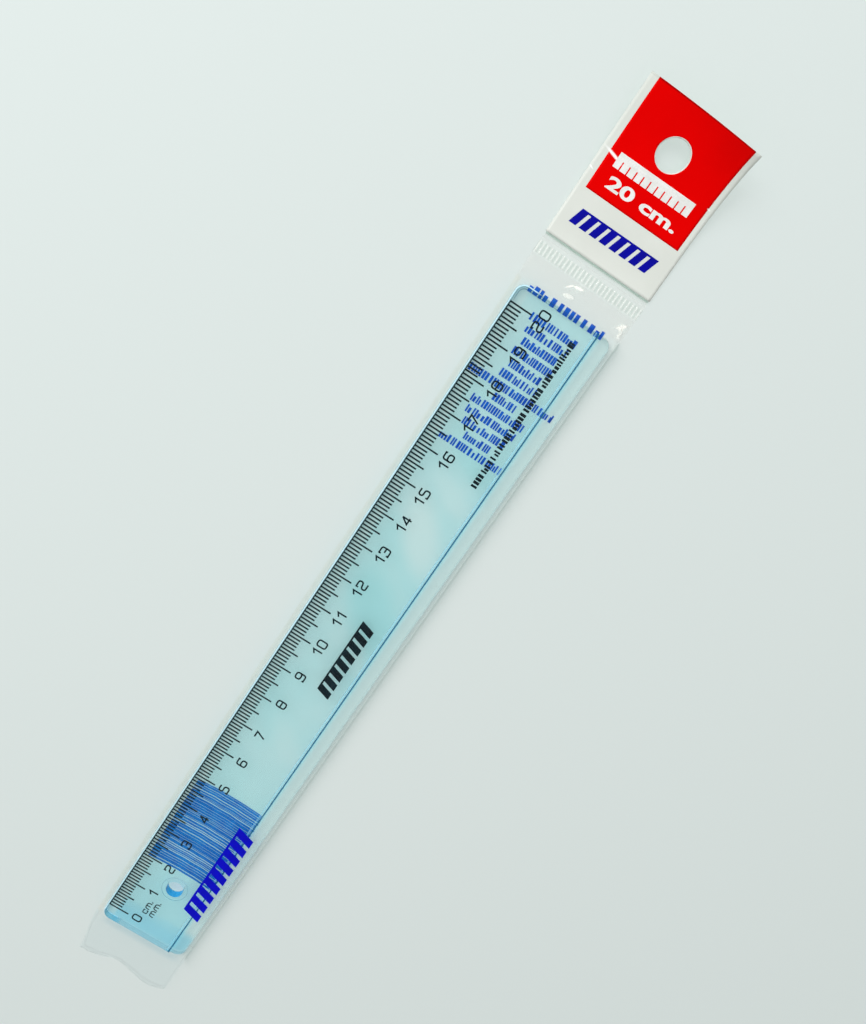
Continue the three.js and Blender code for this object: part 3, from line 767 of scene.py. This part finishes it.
black_ink = ink_material("black_ink", paint(2, 24, 30), paint(10, 38, 46))
blue_ink = ink_material("blue_ink", paint(0, 104, 186), paint(12, 128, 204), 0.95)
row_ink = ink_material("row_ink", paint(0, 74, 180), paint(0, 96, 198))
navy_ink = ink_material("navy_ink", paint(0, 0, 176), paint(0, 4, 200))
header_navy = ink_material("header_navy_ink", paint(0, 0, 142), paint(0, 2, 158))
white_ink = ink_material("white_ink", paint(226, 228, 224), paint(240, 240, 238))
print("materials", len(bpy.data.materials))

# %% [markdown]
# ## Dress the model's own pieces
# The printed scale, the numerals and the plain marks already have their real shape, so they keep it and
# only get their inks. Materials go into the object's slots, and the meshes stay as they are.

# %% Assign materials to the model's pieces
def dress(names, material):
    for name in names:
        piece = nodes[name]
        if not piece.material_slots:
            piece.data.materials.append(None)
        for material_slot in piece.material_slots:
            material_slot.link = "OBJECT"
            material_slot.material = material


def named(start):
    return sorted(name for name in nodes if name.startswith(start))


numerals = named("numeral_")
units = named("unit_")
size_nodes = named("header_size")
dress(["ruler_body"], clear_blue)
dress(["graduation_ticks", "face_bars", "face_scale_bar", *numerals, *units], black_ink)
dress(["back_film_stripes", "back_film_rules"], blue_ink)
dress(["front_film_bars"], navy_ink)
dress(["header_bars"], header_navy)
dress(["header_ruler_sign", *size_nodes], white_ink)
dress(["pouch_front_film", "pouch_back_film", "header_film_tail"], clear_film)
dress(["side_weld_graduated", "side_weld_plain", "bottom_fold"], weld_film)
dress(["crimp_seal"], crimped_film)
print("numerals", len(numerals), "unit letters", len(units))

# %% [markdown]
# ## Helpers for new pieces
# New pieces are bmesh shapes: a grid or a cube from an operator, moved into place and finished by
# modifiers. Each one names the body that it moves with and the model's node that it stands for. Soft
# steps and even spacing come back in every shape, so they are helpers too.

# %% Spacing
def even(low, high, index, count):
    return low + (high - low) * index / count


def smooth_share(value):
    share = min(1.0, max(0.0, value))
    return share * share * (3 - 2 * share)


print("a quarter of the way, softly:", smooth_share(even(0, 1, 1, 4)))


# %% Piece helpers
def new_piece(name, shape, material, smooth=True):
    mesh = bpy.data.meshes.new(name)
    bmesh.ops.recalc_face_normals(shape, faces=shape.faces[:])
    shape.to_mesh(mesh)
    shape.free()
    mesh.materials.append(material)
    for face in mesh.polygons:
        face.use_smooth = smooth
    return new_object(name, mesh)


def give_thickness(piece, thickness, offset):
    wall = piece.modifiers.new("wall", "SOLIDIFY")
    wall.thickness = thickness
    wall.offset = offset
    wall.use_even_offset = True


def settle(piece):
    """Turn the modifiers' result into the piece's own mesh."""
    graph = bpy.context.evaluated_depsgraph_get()
    finished = bpy.data.meshes.new_from_object(piece.evaluated_get(graph))
    piece.modifiers.clear()
    piece.data = finished


def grid_of(columns, rows, place):
    """A sheet of columns by rows faces, where place(i, j) gives the point of each corner."""
    shape = bmesh.new()
    bmesh.ops.create_grid(shape, x_segments=columns, y_segments=rows, size=0.5)
    for vertex in shape.verts:
        i = round((vertex.co.x + 0.5) * columns)
        j = round((vertex.co.y + 0.5) * rows)
        vertex.co = place(i, j)
    return shape


def sheet_over(low_x, high_x, low_y, high_y, columns, rows, place):
    """A sheet over a rectangle, where place(x, y) gives the point of each corner."""
    return grid_of(columns, rows, lambda i, j: place(
        even(low_x, high_x, i, columns),
        even(low_y, high_y, j, rows),
    ))


def cut_across(shape, axis, low, high, count):
    """Cut a shape into equal lengths along one axis, so that it can bend."""
    way = Vector([float(index == axis) for index in range(3)])
    for step in range(1, count):
        everything = shape.verts[:] + shape.edges[:] + shape.faces[:]
        place = way * even(low, high, step, count)
        bmesh.ops.bisect_plane(shape, geom=everything, plane_co=place, plane_no=way)


def join_body(piece, body, material_slot, *stands_for):
    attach(piece, body)
    if stands_for:
        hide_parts(*stands_for)
    print(piece.name, "faces", len(piece.data.polygons))


# %% [markdown]
# ## The pouch's films
# The front film lies over the ruler like a tight blanket: flat on top, with soft ripples where it is
# free, a rounded fall to the welds and small pinches near the crimp, which catch the light. Its bottom end
# is wavy and drawn in on the graduated side. A cloth simulation could make it, but a fine grid with one
# function for its height and one for its outline gives the same shape each time.

# %% Outline and pinches of the film
# How far the bottom edge is drawn in, from the graduated side to the plain one, in millimetres
bottom_profile = [0.0, 0.1, 0.5, 1.7, 2.6, 2.2, 1.4, 0.6, 0.1, 0.6, 1.7]
bottom_reach = 12 * mm
side_pull = 1.7 * mm
side_pull_start = ruler_low.x - 2 * mm
side_pull_length = 13 * mm


def drawn(x, y):
    """Where the wavy bottom edge and the narrower graduated side take a point of the film."""
    share = min(1.0, max(0.0, 0.5 - y / (2 * pouch_half_width)))
    steps = share * (len(bottom_profile) - 1)
    index = min(int(steps), len(bottom_profile) - 2)
    depth = even(bottom_profile[index], bottom_profile[index + 1], steps - index, 1) * mm
    near = max(0.0, 1 - (x - weld_low.x) / bottom_reach)
    pull = side_pull * smooth_share((side_pull_start - x) / side_pull_length) * (1 - share)
    return x + depth * near, y - pull


# Each pinch has a distance from the 0 mark, a Y, a width and a height, in millimetres, and an angle
pinches = [
    (211.0, 1.0, 0.5, 0.32, 85),
    (208.6, -12.2, 0.6, 0.5, 40),
    (207.0, -9.5, 0.8, 0.22, 60),
    (-8.5, 9.0, 1.2, 0.2, 20),
    (-12.0, -7.0, 1.4, 0.22, 70),
]


def pinch_height(x, y):
    total = 0.0
    for from_zero, across, width, height, angle in pinches:
        turn = math.radians(angle)
        dx = (x - zero_x) / mm - from_zero
        dy = y / mm - across
        along = dx * math.cos(turn) + dy * math.sin(turn)
        beside = dy * math.cos(turn) - dx * math.sin(turn)
        total += height * math.exp(-((along / (2.5 * width)) ** 2) - (beside / width) ** 2)
    return total * mm


print("pinches", len(pinches), "bottom edge drawn in by up to", max(bottom_profile), "mm")

# %% Height of the front film
flat_y = ruler_half_width + 0.2 * mm
edge_y = front_high.y - 0.1 * mm
bottom_start = 0.15 * mm
bottom_fall = 5.2 * mm
mouth_start = 0.4 * mm
mouth_fall = 1.9 * mm
held_reach = 6 * mm
wave_height = 0.16
crease_height = 0.22


def front_film_place(x, y):
    sides = smooth_share((edge_y - abs(y)) / (edge_y - flat_y))
    bottom = smooth_share((x - front_low.x - bottom_start) / bottom_fall)
    mouth = smooth_share((front_high.x - mouth_start - x) / mouth_fall)
    lift = min(bottom, mouth) * sides
    held = smooth_share((ruler_high.x - x) / held_reach + 1)
    free = 1 - held * smooth_share((x - ruler_low.x) / held_reach + 1)
    wave = noise.noise(Vector((x * 90, y * 160, 3.0)))
    crease = abs(noise.noise(Vector((x * 140 + y * 60, y * 90, 7.0))))
    ripple = free * (wave_height * wave + crease_height * crease) * mm
    height = back_high.z + film_thickness + lift * (film_top - back_high.z - film_thickness)
    height += lift * (ripple + pinch_height(x, y))
    return Vector((*drawn(x, y), height))


def closer_at_edges(low, high, index, count):
    """Like even, with smaller steps near both ends, where the film falls to the welds."""
    share = even(-1, 1, index, count)
    return (low + high) / 2 + (high - low) / 2 * share * (1.35 - 0.35 * share * share)


print("film rises to", round(front_film_place(ruler_middle_x, 0).z / mm, 2), "mm over the ruler")

# %% Front film
film_columns = 500
film_rows = 96
front_film = new_piece(
    "pouch_front_sheet",
    grid_of(film_columns, film_rows, lambda i, j: front_film_place(
        even(front_low.x, front_high.x, i, film_columns),
        closer_at_edges(front_low.y, front_high.y, j, film_rows),
    )),
    clear_film,
)
give_thickness(front_film, film_thickness * 0.8, -1)
join_body(front_film, "pouch", "clear_film", "pouch_front_film")

# %% [markdown]
# The back film lies flat on the table, and the bottom fold and side welds are round beads where the two
# films melted together. A swept circle could make a bead. Here it is a copy of the model's own weld with
# its long edges bevelled, so that it keeps the model's size and follows the film's outline.

# %% Back film and welds
back_film = new_piece(
    "pouch_back_sheet",
    sheet_over(
        back_low.x, back_high.x, back_low.y, back_high.y, columns=200, rows=40,
        place=lambda x, y: Vector((*drawn(x, y), back_high.z)),
    ),
    clear_film,
)
give_thickness(back_film, film_thickness, -1)
join_body(back_film, "pouch", "clear_film", "pouch_back_film")

merge_distance = 0.001 * mm
flat_angle = 0.01
bead_round = 0.06 * mm
bead_long_edge = 1 * mm
bead_steps = 80


def bead(name, node):
    """A copy of a weld, rounded, cut across along its length and bent to the pouch's outline."""
    shape = bmesh.new()
    shape.from_mesh(nodes[node].data)
    bmesh.ops.remove_doubles(shape, verts=shape.verts[:], dist=merge_distance)
    bmesh.ops.dissolve_limit(shape, angle_limit=flat_angle, verts=shape.verts[:], edges=shape.edges[:])
    long_edges = [edge for edge in shape.edges if edge.calc_length() > bead_long_edge]
    bmesh.ops.bevel(
        shape, geom=long_edges, offset=bead_round, segments=2, profile=0.5, affect="EDGES", material=-1,
    )
    low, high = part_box(node)
    longer = 0 if high.x - low.x > high.y - low.y else 1
    cut_across(shape, longer, low[longer], high[longer], bead_steps)
    for vertex in shape.verts:
        vertex.co.x, vertex.co.y = drawn(vertex.co.x, vertex.co.y)
    return new_piece(name, shape, weld_film)


for name, node in (
    ("weld_bead_graduated", "side_weld_graduated"),
    ("weld_bead_plain", "side_weld_plain"),
    ("bottom_fold_bead", "bottom_fold"),
):
    join_body(bead(name, node), "pouch", "clear_film", node)

# %% [markdown]
# ## The crimp
# A hot jaw with teeth pressed both films together across the mouth, and left a band of round ribs. An
# array of half cylinders would have hard feet. A grid whose height is a row of half waves gives ribs that
# run out softly at both ends of the band.

# %% Crimp seal
rib_run_out = 0.4 * mm
rib_side_run_out = 0.5 * mm
rib_roundness = 1.5


def crimp_place(x, y):
    ends = smooth_share((x - rib_start) / rib_run_out) * smooth_share((rib_end - x) / rib_run_out)
    sides = smooth_share((pouch_half_width - abs(y)) / rib_side_run_out)
    wave = 0.5 + 0.5 * math.cos(2 * math.pi * y / rib_pitch)
    rise = rib_height * ends * sides * wave ** rib_roundness
    return Vector((x, y, crimp_high.z - rib_height + rise))


crimp = new_piece(
    "crimp_band",
    sheet_over(
        crimp_low.x, crimp_high.x, crimp_low.y, crimp_high.y, columns=28, rows=324, place=crimp_place,
    ),
    crimped_film,
)
give_thickness(crimp, 2 * film_thickness * 0.95, -1)
join_body(crimp, "pouch", "crimped_film", "crimp_seal")

# %% [markdown]
# ## The neck
# Between the crimp and the header a short strip of film is the fold line on which the header swings. It
# bends between the two bodies, so it is not tied to either.

# %% Neck film
neck_start = crimp_high.x - 0.25 * mm
neck_end = tail_low.x + 0.35 * mm
neck_half_width = pouch_half_width - 0.3 * mm
neck_z = 0.2 * mm + film_thickness
neck_thickness = 0.05 * mm
neck = new_piece(
    "neck_film",
    sheet_over(
        neck_start, neck_end, -neck_half_width, neck_half_width, columns=16, rows=8,
        place=lambda x, y: Vector((x, y, neck_z - 0.02 * mm)),
    ),
    clear_film,
)
give_thickness(neck, neck_thickness, -1)
settle(neck)
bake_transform(neck)
print(neck.name, "faces", len(neck.data.polygons))

# %% [markdown]
# ## The header
# A strip of white sheet is folded over the pouch's tail and curls up towards its fold, more on the plain
# side. The rise grows with a power of the distance from the lower edge, and the sheet is drawn in so that
# its length stays true. These are the same two formulas as in the model, so prints and sheet stay
# together.

# %% Header curl
header_length = 40.2 * mm
header_lift_graduated = 4.5 * mm
header_lift_plain = 11 * mm
curl_power = 3.2
curl_pull = curl_power ** 2 / (2 * header_length * (2 * curl_power - 1))
leaf_thickness = 0.15 * mm
header_thickness = 0.6 * mm
red_start = 12.75 * mm
header_border = 1.95 * mm
header_hole = (header_length - 11.6 * mm, 0.4 * mm)
header_hole_radius = 3.7 * mm
hole_rim = 0.22 * mm
probe = 0.1 * mm


def lift_at(y):
    share = (y + pouch_half_width) / (2 * pouch_half_width)
    return header_lift_plain + share * (header_lift_graduated - header_lift_plain)


def curl_surface(along, y):
    share = max(along / header_length, 0.0)
    rise = lift_at(y) * share ** curl_power
    pull = curl_pull * lift_at(y) ** 2
    run = along - pull * share ** (2 * curl_power - 1)
    return Vector((card_low.x + run, y, rise))


def curled(along, y, z):
    """The point at z above the curled surface, measured square to the curve at this Y."""
    here = curl_surface(along, y)
    ahead = curl_surface(along + probe, y) - here
    return here + Vector((-ahead.z, 0, ahead.x)).normalized() * z


print("header's top edge rises", [round(lift_at(y) / mm, 1) for y in (-pouch_half_width, pouch_half_width)])


# %% Folded sheets
def fold_path(radius, middle_z, fold_along, leaf_steps=64, turn_steps=12):
    """Points along and up the folded sheet: the back leaf, the round fold, then the front leaf."""
    path = [(even(0.0, fold_along, i, leaf_steps), middle_z - radius) for i in range(leaf_steps)]
    for i in range(turn_steps + 1):
        angle = math.pi * (i / turn_steps - 0.5)
        path.append((fold_along + radius * math.cos(angle), middle_z + radius * math.sin(angle)))
    path += [
        (even(fold_along, 0.0, i, leaf_steps), middle_z + radius) for i in range(1, leaf_steps + 1)
    ]
    return path


fold_radius = (header_thickness - leaf_thickness) / 2
fold_along = header_length - header_thickness / 2 - 0.06 * mm
edge_lift = 0.3 * mm
edge_lift_reach = 4.2 * mm
edge_waves = 170
least_lift = 0.6


def header_point(station, y):
    along, z = station
    if z > header_thickness / 2:
        loose = max(0.0, 1 - along / edge_lift_reach)
        z += edge_lift * loose ** 2 * (least_lift + (1 - least_lift) * math.cos(y * edge_waves))
    return curled(along, y, z)


def header_sheet(name, path, low_y, high_y, material, rows=40):
    return new_piece(
        name,
        grid_of(len(path) - 1, rows, lambda i, j: header_point(path[i], even(low_y, high_y, j, rows))),
        material,
    )


def punch(piece, radius):
    """Cut the hang hole through both leaves."""
    centre = curled(header_hole[0], header_hole[1], 0)
    shape = bmesh.new()
    move = Matrix.Translation((centre.x, centre.y, header_lift_plain / 2))
    bmesh.ops.create_cone(
        shape, cap_ends=True, segments=96, radius1=radius, radius2=radius,
        depth=3 * header_lift_plain, matrix=move,
    )
    cutter = new_piece("hole_cutter", shape, piece.data.materials[0])
    cut = piece.modifiers.new("hole", "BOOLEAN")
    cut.object = cutter
    cut.operation = "DIFFERENCE"
    cut.solver = "EXACT"
    settle(piece)
    bpy.data.objects.remove(cutter)


print("fold radius", round(fold_radius / mm, 3), "mm")

# %% [markdown]
# The sheet is film printed opaque white and red, so it is smooth and half glossy. Its fold is painted
# darker, as shade where it turns away from the lamp, and a few glints are painted white where creases at
# its edge catch the light. It is so thin that it lets most light through, so its shadow is pale.

# %% Header materials
# Each painted glint runs along a crease between two points, X from the header's lower edge and Y, with
# a width and a strength
header_glints = [
    ((22.5, 14.5), (20.8, 8.2), 0.95, 0.95),
    ((17.2, 14.6), (16.7, 13.5), 0.5, 0.9),
    ((23.6, -13.0), (23.5, -13.6), 0.6, 0.8),
]
glint_colour = paint(252, 254, 252)
sheet_light_passed = 0.955


def header_material(name, colour, shade, painted_fold_shade, specular):
    material, tree = new_material(name)
    place = object_places(tree)
    x, y, z = axes_of(tree, place)
    patches = cloud_mask(tree, place, 0.08, 0.3, 0.7)
    fibre = noise_of(tree, place, 0.5, 3.0)
    height = calc(tree, "MULTIPLY_ADD", fibre, 0.05, patches)
    lift = ramp(tree, y, -pouch_half_width / mm, pouch_half_width / mm,
                header_lift_plain / mm, header_lift_graduated / mm)
    lift.node.interpolation_type = "LINEAR"
    drawn_in = product(tree, lift, lift, curl_pull * mm)
    to_fold = calc(tree, "SUBTRACT", card_low.x / mm + fold_along / mm, drawn_in)
    to_fold = calc(tree, "SUBTRACT", to_fold, x)
    colour = colour_layers(tree, colour, [
        (patches, shade),
        # painted shade at the fold, which turns away from the lamp
        (ramp(tree, to_fold, 0.05, 0.4, 1.0, 0.0), painted_fold_shade),
        # painted glints: white along the creases at the sheet's edge
        (strokes_of(tree, place, header_glints, card_low.x), glint_colour),
    ])
    surface = add(tree, "BsdfPrincipled", {
        "Base Color": colour,
        "Roughness": ramp(tree, fibre, 0.3, 0.7, 0.3, 0.42),
        "Specular IOR Level": specular,
        "Normal": bump_normal(tree, height, 0.12, 0.3 * mm),
    })
    finish_pale_shadow(tree, surface.outputs[0], sheet_light_passed)
    return material


# the last colour of each sheet is its painted shade at the fold
white_sheet = header_material(
    "white_sheet", paint(221, 225, 218), paint(216, 220, 213), paint(196, 200, 192), 0.3,
)
red_ink = header_material("red_ink", paint(228, 0, 0), paint(222, 0, 0), paint(160, 0, 0), 0.02)
dress(["header_card"], white_sheet)
dress(["header_red_panel"], red_ink)
print("materials", len(bpy.data.materials))

# %% Header sheet
card_path = fold_path(fold_radius, header_thickness / 2, fold_along)
card_half = pouch_half_width - 0.02 * mm
card = header_sheet("header_sheet", card_path, -card_half, card_half, white_sheet)
give_thickness(card, leaf_thickness, 0)
punch(card, header_hole_radius)
join_body(card, "header", "white_sheet", "header_card")

# %% [markdown]
# The red panel is printed on the front leaf and runs round the fold. A colour mask on the white sheet
# could draw it, but it is a node of the model, so it is a thin sheet that lies a hair above the white one,
# with a white rim left round the hole.

# %% Red panel
print_gap = 0.015 * mm
print_thickness = 0.02 * mm
panel_radius = header_thickness / 2 + print_gap
wrap_steps = 10
front_steps = 48
panel_path = [
    (fold_along + panel_radius * math.cos(turn), header_thickness / 2 + panel_radius * math.sin(turn))
    for turn in [math.radians(even(-10, 90, i, wrap_steps)) for i in range(wrap_steps + 1)]
]
panel_path += [
    (even(fold_along, red_start, i, front_steps), header_thickness / 2 + panel_radius)
    for i in range(1, front_steps + 1)
]
panel_half = pouch_half_width - header_border + 0.15 * mm
panel_middle = -0.25 * mm
panel = header_sheet(
    "red_panel", panel_path, panel_middle - panel_half, panel_middle + panel_half, red_ink,
)
give_thickness(panel, print_thickness, 0)
punch(panel, header_hole_radius + hole_rim)
join_body(panel, "header", "red_ink", "header_red_panel")

# %% [markdown]
# The size is printed in wide heavy figures. They start as text, are made a mesh, and are then laid on
# the curl with the same formula as the sheet, reading across the header with their tops towards the fold.

# %% Size mark
def size_mark(body, height, width, middle, foot, embolden, gap):
    curve = bpy.data.curves.new("header_size_text", "FONT")
    curve.body = body
    curve.size = 1
    curve.offset = embolden
    curve.extrude = 0.01
    curve.resolution_u = 6
    text = new_object("header_size_text", curve)
    graph = bpy.context.evaluated_depsgraph_get()
    mesh = bpy.data.meshes.new_from_object(text.evaluated_get(graph))
    bpy.data.objects.remove(text)
    shape = bmesh.new()
    shape.from_mesh(mesh)
    bmesh.ops.remove_doubles(shape, verts=shape.verts[:], dist=1e-5)
    low = Vector([min(vertex.co[axis] for vertex in shape.verts) for axis in range(3)])
    high = Vector([max(vertex.co[axis] for vertex in shape.verts) for axis in range(3)])
    for vertex in shape.verts:
        across = (vertex.co.x - low.x) / (high.x - low.x)
        up = (vertex.co.y - low.y) / (high.y - low.y)
        z = header_thickness + (gap if vertex.co.z < 0 else gap + print_thickness)
        vertex.co = curled(foot + up * height, middle + width * (0.5 - across), z)
    return new_piece("header_size_mark", shape, white_ink, smooth=False)


size_piece = size_mark(
    "20 cm.", height=3.1 * mm, width=19.1 * mm, middle=-0.35 * mm, foot=red_start + 2.3 * mm,
    embolden=0.035, gap=0.06 * mm,
)
join_body(size_piece, "header", "white_ink", *size_nodes)

# %% [markdown]
# ## The printed stripes on the back film
# The film was printed before it was stretched over the ruler, so the block of narrow stripes is bowed by
# a fraction of a millimetre. A mask on the film could draw the stripes, but then they would end in soft
# steps. Here each is a thin cube, cut across so that one formula can bend them all.

# %% Back film stripes
stripes_low, stripes_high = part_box("back_film_stripes")
ink_thickness = stripes_high.z - stripes_low.z
stripe_widths = [0.25, 0.34, 0.45, 0.6, 0.65, 0.95]
stripe_gaps = [0.12, 0.14, 0.17, 0.22, 0.32]
stripe_feet = [0, 0, 0.3, 0.6]
stripe_steps = 16
last_width = 0.8 * mm
bow_depth = 0.45
bow_wave = 0.14
bow_shift = 0.2 * mm
stripe_random = random.Random(12)


def stripe_bow(x, y):
    middle = (stripes_low.y + stripes_high.y) / 2
    share = (y - middle) / ((stripes_high.y - stripes_low.y) / 2)
    wave = noise.noise(Vector((x * 120, y * 300, 1.0)))
    return (bow_depth * (1 - share * share) + bow_wave * wave) * mm


def add_strip(shape, left, right, foot, top, base):
    """A thin closed bar of ink."""
    made = bmesh.ops.create_cube(shape, size=1)
    low = Vector((left, foot, base))
    size = Vector((right - left, top - foot, ink_thickness))
    for vertex in made["verts"]:
        vertex.co = low + Vector([size[axis] * (vertex.co[axis] + 0.5) for axis in range(3)])


stripes = bmesh.new()
left = stripes_low.x
while left < stripes_high.x - last_width:
    width = stripe_random.choice(stripe_widths) * mm
    foot = stripes_low.y + stripe_random.choice(stripe_feet) * mm
    add_strip(stripes, left, left + width, foot, stripes_high.y, stripes_low.z)
    left += width + stripe_random.choice(stripe_gaps) * mm
cut_across(stripes, 1, stripes_low.y, stripes_high.y, stripe_steps)
for vertex in stripes.verts:
    vertex.co.x += stripe_bow(vertex.co.x, vertex.co.y) - bow_shift
stripe_piece = new_piece("film_stripes", stripes, blue_ink, smooth=False)
join_body(stripe_piece, "pouch", "blue_ink", "back_film_stripes")

# %% [markdown]
# ## Rows of plain bars
# The far end has a block of printed rows. Each is a row of plain upright bars of uneven width and height,
# in groups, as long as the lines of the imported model. Widths and gaps come from a seeded random choice,
# so that they look uneven and yet are the same each time.

# %% Bars of a row
bar_widths = [1.0, 1.25, 1.55]
bar_gaps = [0.45, 0.45, 0.5, 0.7, 1.3]
bar_heights = [1.0, 1.0, 1.0, 0.72]


def bar_boxes(length, height, stem, seed):
    """Start, end and height of each bar in a row. Widths and gaps are shares of the stem."""
    chance = random.Random(seed)
    boxes = []
    start = 0.0
    while start < length - 1.5 * stem:
        wide = stem * chance.choice(bar_widths)
        boxes.append((start, start + wide, height * chance.choice(bar_heights)))
        start += wide + stem * chance.choice(bar_gaps)
    boxes.append((length - stem, length, height))
    return boxes


print("bars in 10 mm:", len(bar_boxes(10, 2, 0.5, 1)))

# %% Rows on the back film
rules = nodes["back_film_rules"].data
rules_low, rules_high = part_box("back_film_rules")
row_count = 13
row_pitch = 2.95 * mm
row_width = 0.8 * mm
row_height = 2.0 * mm
row_stem = 0.42 * mm
title_height = 2.1 * mm
title_length = 21 * mm
title_stem = 0.8 * mm
title_seed = 99
hair = 0.01 * mm
rows = bmesh.new()
for index in range(row_count):
    row_x = rules_low.x + index * row_pitch
    ends = [
        vertex.co.y for vertex in rules.vertices if row_x - hair < vertex.co.x < row_x + row_width
    ]
    high_y = max(ends)
    foot_x = row_x + (row_width - row_height) / 2
    for start, end, top in bar_boxes(high_y - min(ends), row_height, row_stem, index):
        add_strip(rows, foot_x, foot_x + top, high_y - end, high_y - start, rules_low.z)
title_x = rules_high.x - title_height
title_y = (rules_low.y + rules_high.y) / 2 + title_length / 2
for start, end, top in bar_boxes(title_length, title_height, title_stem, title_seed):
    add_strip(rows, title_x, title_x + top, title_y - end, title_y - start, rules_low.z)
rows_piece = new_piece("film_rows", rows, row_ink, smooth=False)
join_body(rows_piece, "pouch", "blue_ink", "back_film_rules")

# %% [markdown]
# The ruler's own face has one such row near its 20 end, in black. Its unit marks each get the round dot
# of an abbreviation, which is a short cone with equal ends.

# %% Row and dots on the ruler's face
face_low, face_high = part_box("face_scale_bar")
face_bar_height = 1.6 * mm
face_stem = 0.5 * mm
face_seed = 7
face_row = bmesh.new()
for start, end, top in bar_boxes(face_high.x - face_low.x, face_bar_height, face_stem, face_seed):
    add_strip(face_row, face_low.x + start, face_low.x + end, face_low.y, face_low.y + top, face_low.z)
face_piece = new_piece("face_row", face_row, black_ink, smooth=False)
join_body(face_piece, "ruler", "black_ink", "face_scale_bar")

dot_radius = 0.2 * mm
dot_distance = 0.45 * mm
dots = bmesh.new()
for letter in ("unit_cm_m", "unit_mm_second"):
    low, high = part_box(letter)
    centre = Vector((high.x + dot_distance, low.y + dot_radius, (low.z + high.z) / 2))
    bmesh.ops.create_cone(
        dots, cap_ends=True, segments=32, radius1=dot_radius, radius2=dot_radius, depth=high.z - low.z,
        matrix=Matrix.Translation(centre),
    )
join_body(new_piece("unit_dots", dots, black_ink, smooth=False), "ruler", "black_ink")

# %% [markdown]
# ## Table, light and background
# The object lies on a plain pale table. A large soft lamp stands on the graduated side and the header's
# end, about fifty degrees from straight above, and a small weak one behind it adds sharp glints. The
# world shows the pale background to the camera and to reflections, and a weaker, even fill to everything
# else. Far from the object the table fades into that background, so that no edge shows from low angles.

# %% Table
table_colour = (0.683, 0.745, 0.729, 1)
distance_colour = (0.74, 0.80, 0.78, 1)
table_half_size = 3.0
table_drop = 0.02 * mm
fade_start = 0.3
fade_end = 1.1
table_shape = bmesh.new()
bmesh.ops.create_grid(table_shape, x_segments=1, y_segments=1, size=table_half_size)
bmesh.ops.translate(table_shape, verts=table_shape.verts[:], vec=(0, 0, -table_drop))
table_material, tree = new_material("table")
surface = add(tree, "BsdfPrincipled", {
    "Base Color": table_colour,
    "Roughness": 0.7,
    "Specular IOR Level": 0.1,
})
haze = add(tree, "Emission", {"Color": distance_colour, "Strength": 1.0})
place = add(tree, "TexCoord").outputs["Object"]
far = ramp(tree, vector_calc(tree, "LENGTH", place), fade_start, fade_end)
far = product(tree, far, add(tree, "LightPath").outputs["Is Camera Ray"])
finish_material(tree, blend_shader(tree, far, surface.outputs[0], haze.outputs[0]))
table = new_piece("table", table_shape, table_material)
print("table fades from", fade_start, "to", fade_end, "m")

# %% Lamps
lamp_way = Vector((0.42, 0.56, 0.62)).normalized()


def add_lamp(name, shape, size, energy, distance):
    data = bpy.data.lights.new(name, "AREA")
    data.shape = shape
    data.size = size
    data.energy = energy
    lamp = new_object(name, data)
    lamp.location = lamp_way * distance
    aim_along(lamp, -lamp_way)
    print(name, energy, "W at", distance, "m")


add_lamp("soft_lamp", "SQUARE", size=0.8, energy=12.6, distance=1.3)
add_lamp("spark_lamp", "DISK", size=0.05, energy=0.15, distance=1.326)

# %% World
fill_colour = (0.985, 1.0, 0.99, 1)
fill_strength = 0.575
overhead_colour = (0.30, 0.33, 0.33, 1)
world = bpy.data.worlds.new("room")
scene.world = world
world.use_nodes = True
tree = world.node_tree
tree.nodes.clear()
fill = add(tree, "Background", {"Color": fill_colour, "Strength": fill_strength})
up = axes_of(tree, add(tree, "TexCoord").outputs["Generated"])["Z"]
overhead = ramp(tree, up, 0.55, 0.9)
room_colour = blend_colour(tree, overhead, distance_colour, overhead_colour)
shown = add(tree, "Background", {"Color": room_colour, "Strength": 1.0})
rays = add(tree, "LightPath").outputs
seen = strongest(tree, *[rays[f"Is {kind} Ray"] for kind in ("Camera", "Glossy", "Transmission")])
output = add(tree, "OutputWorld")
tree.links.new(blend_shader(tree, seen, fill.outputs[0], shown.outputs[0]), output.inputs["Surface"])

scene.view_settings.view_transform = "Standard"
scene.cycles.transparent_max_bounces = 32
print("world fill", fill_strength)
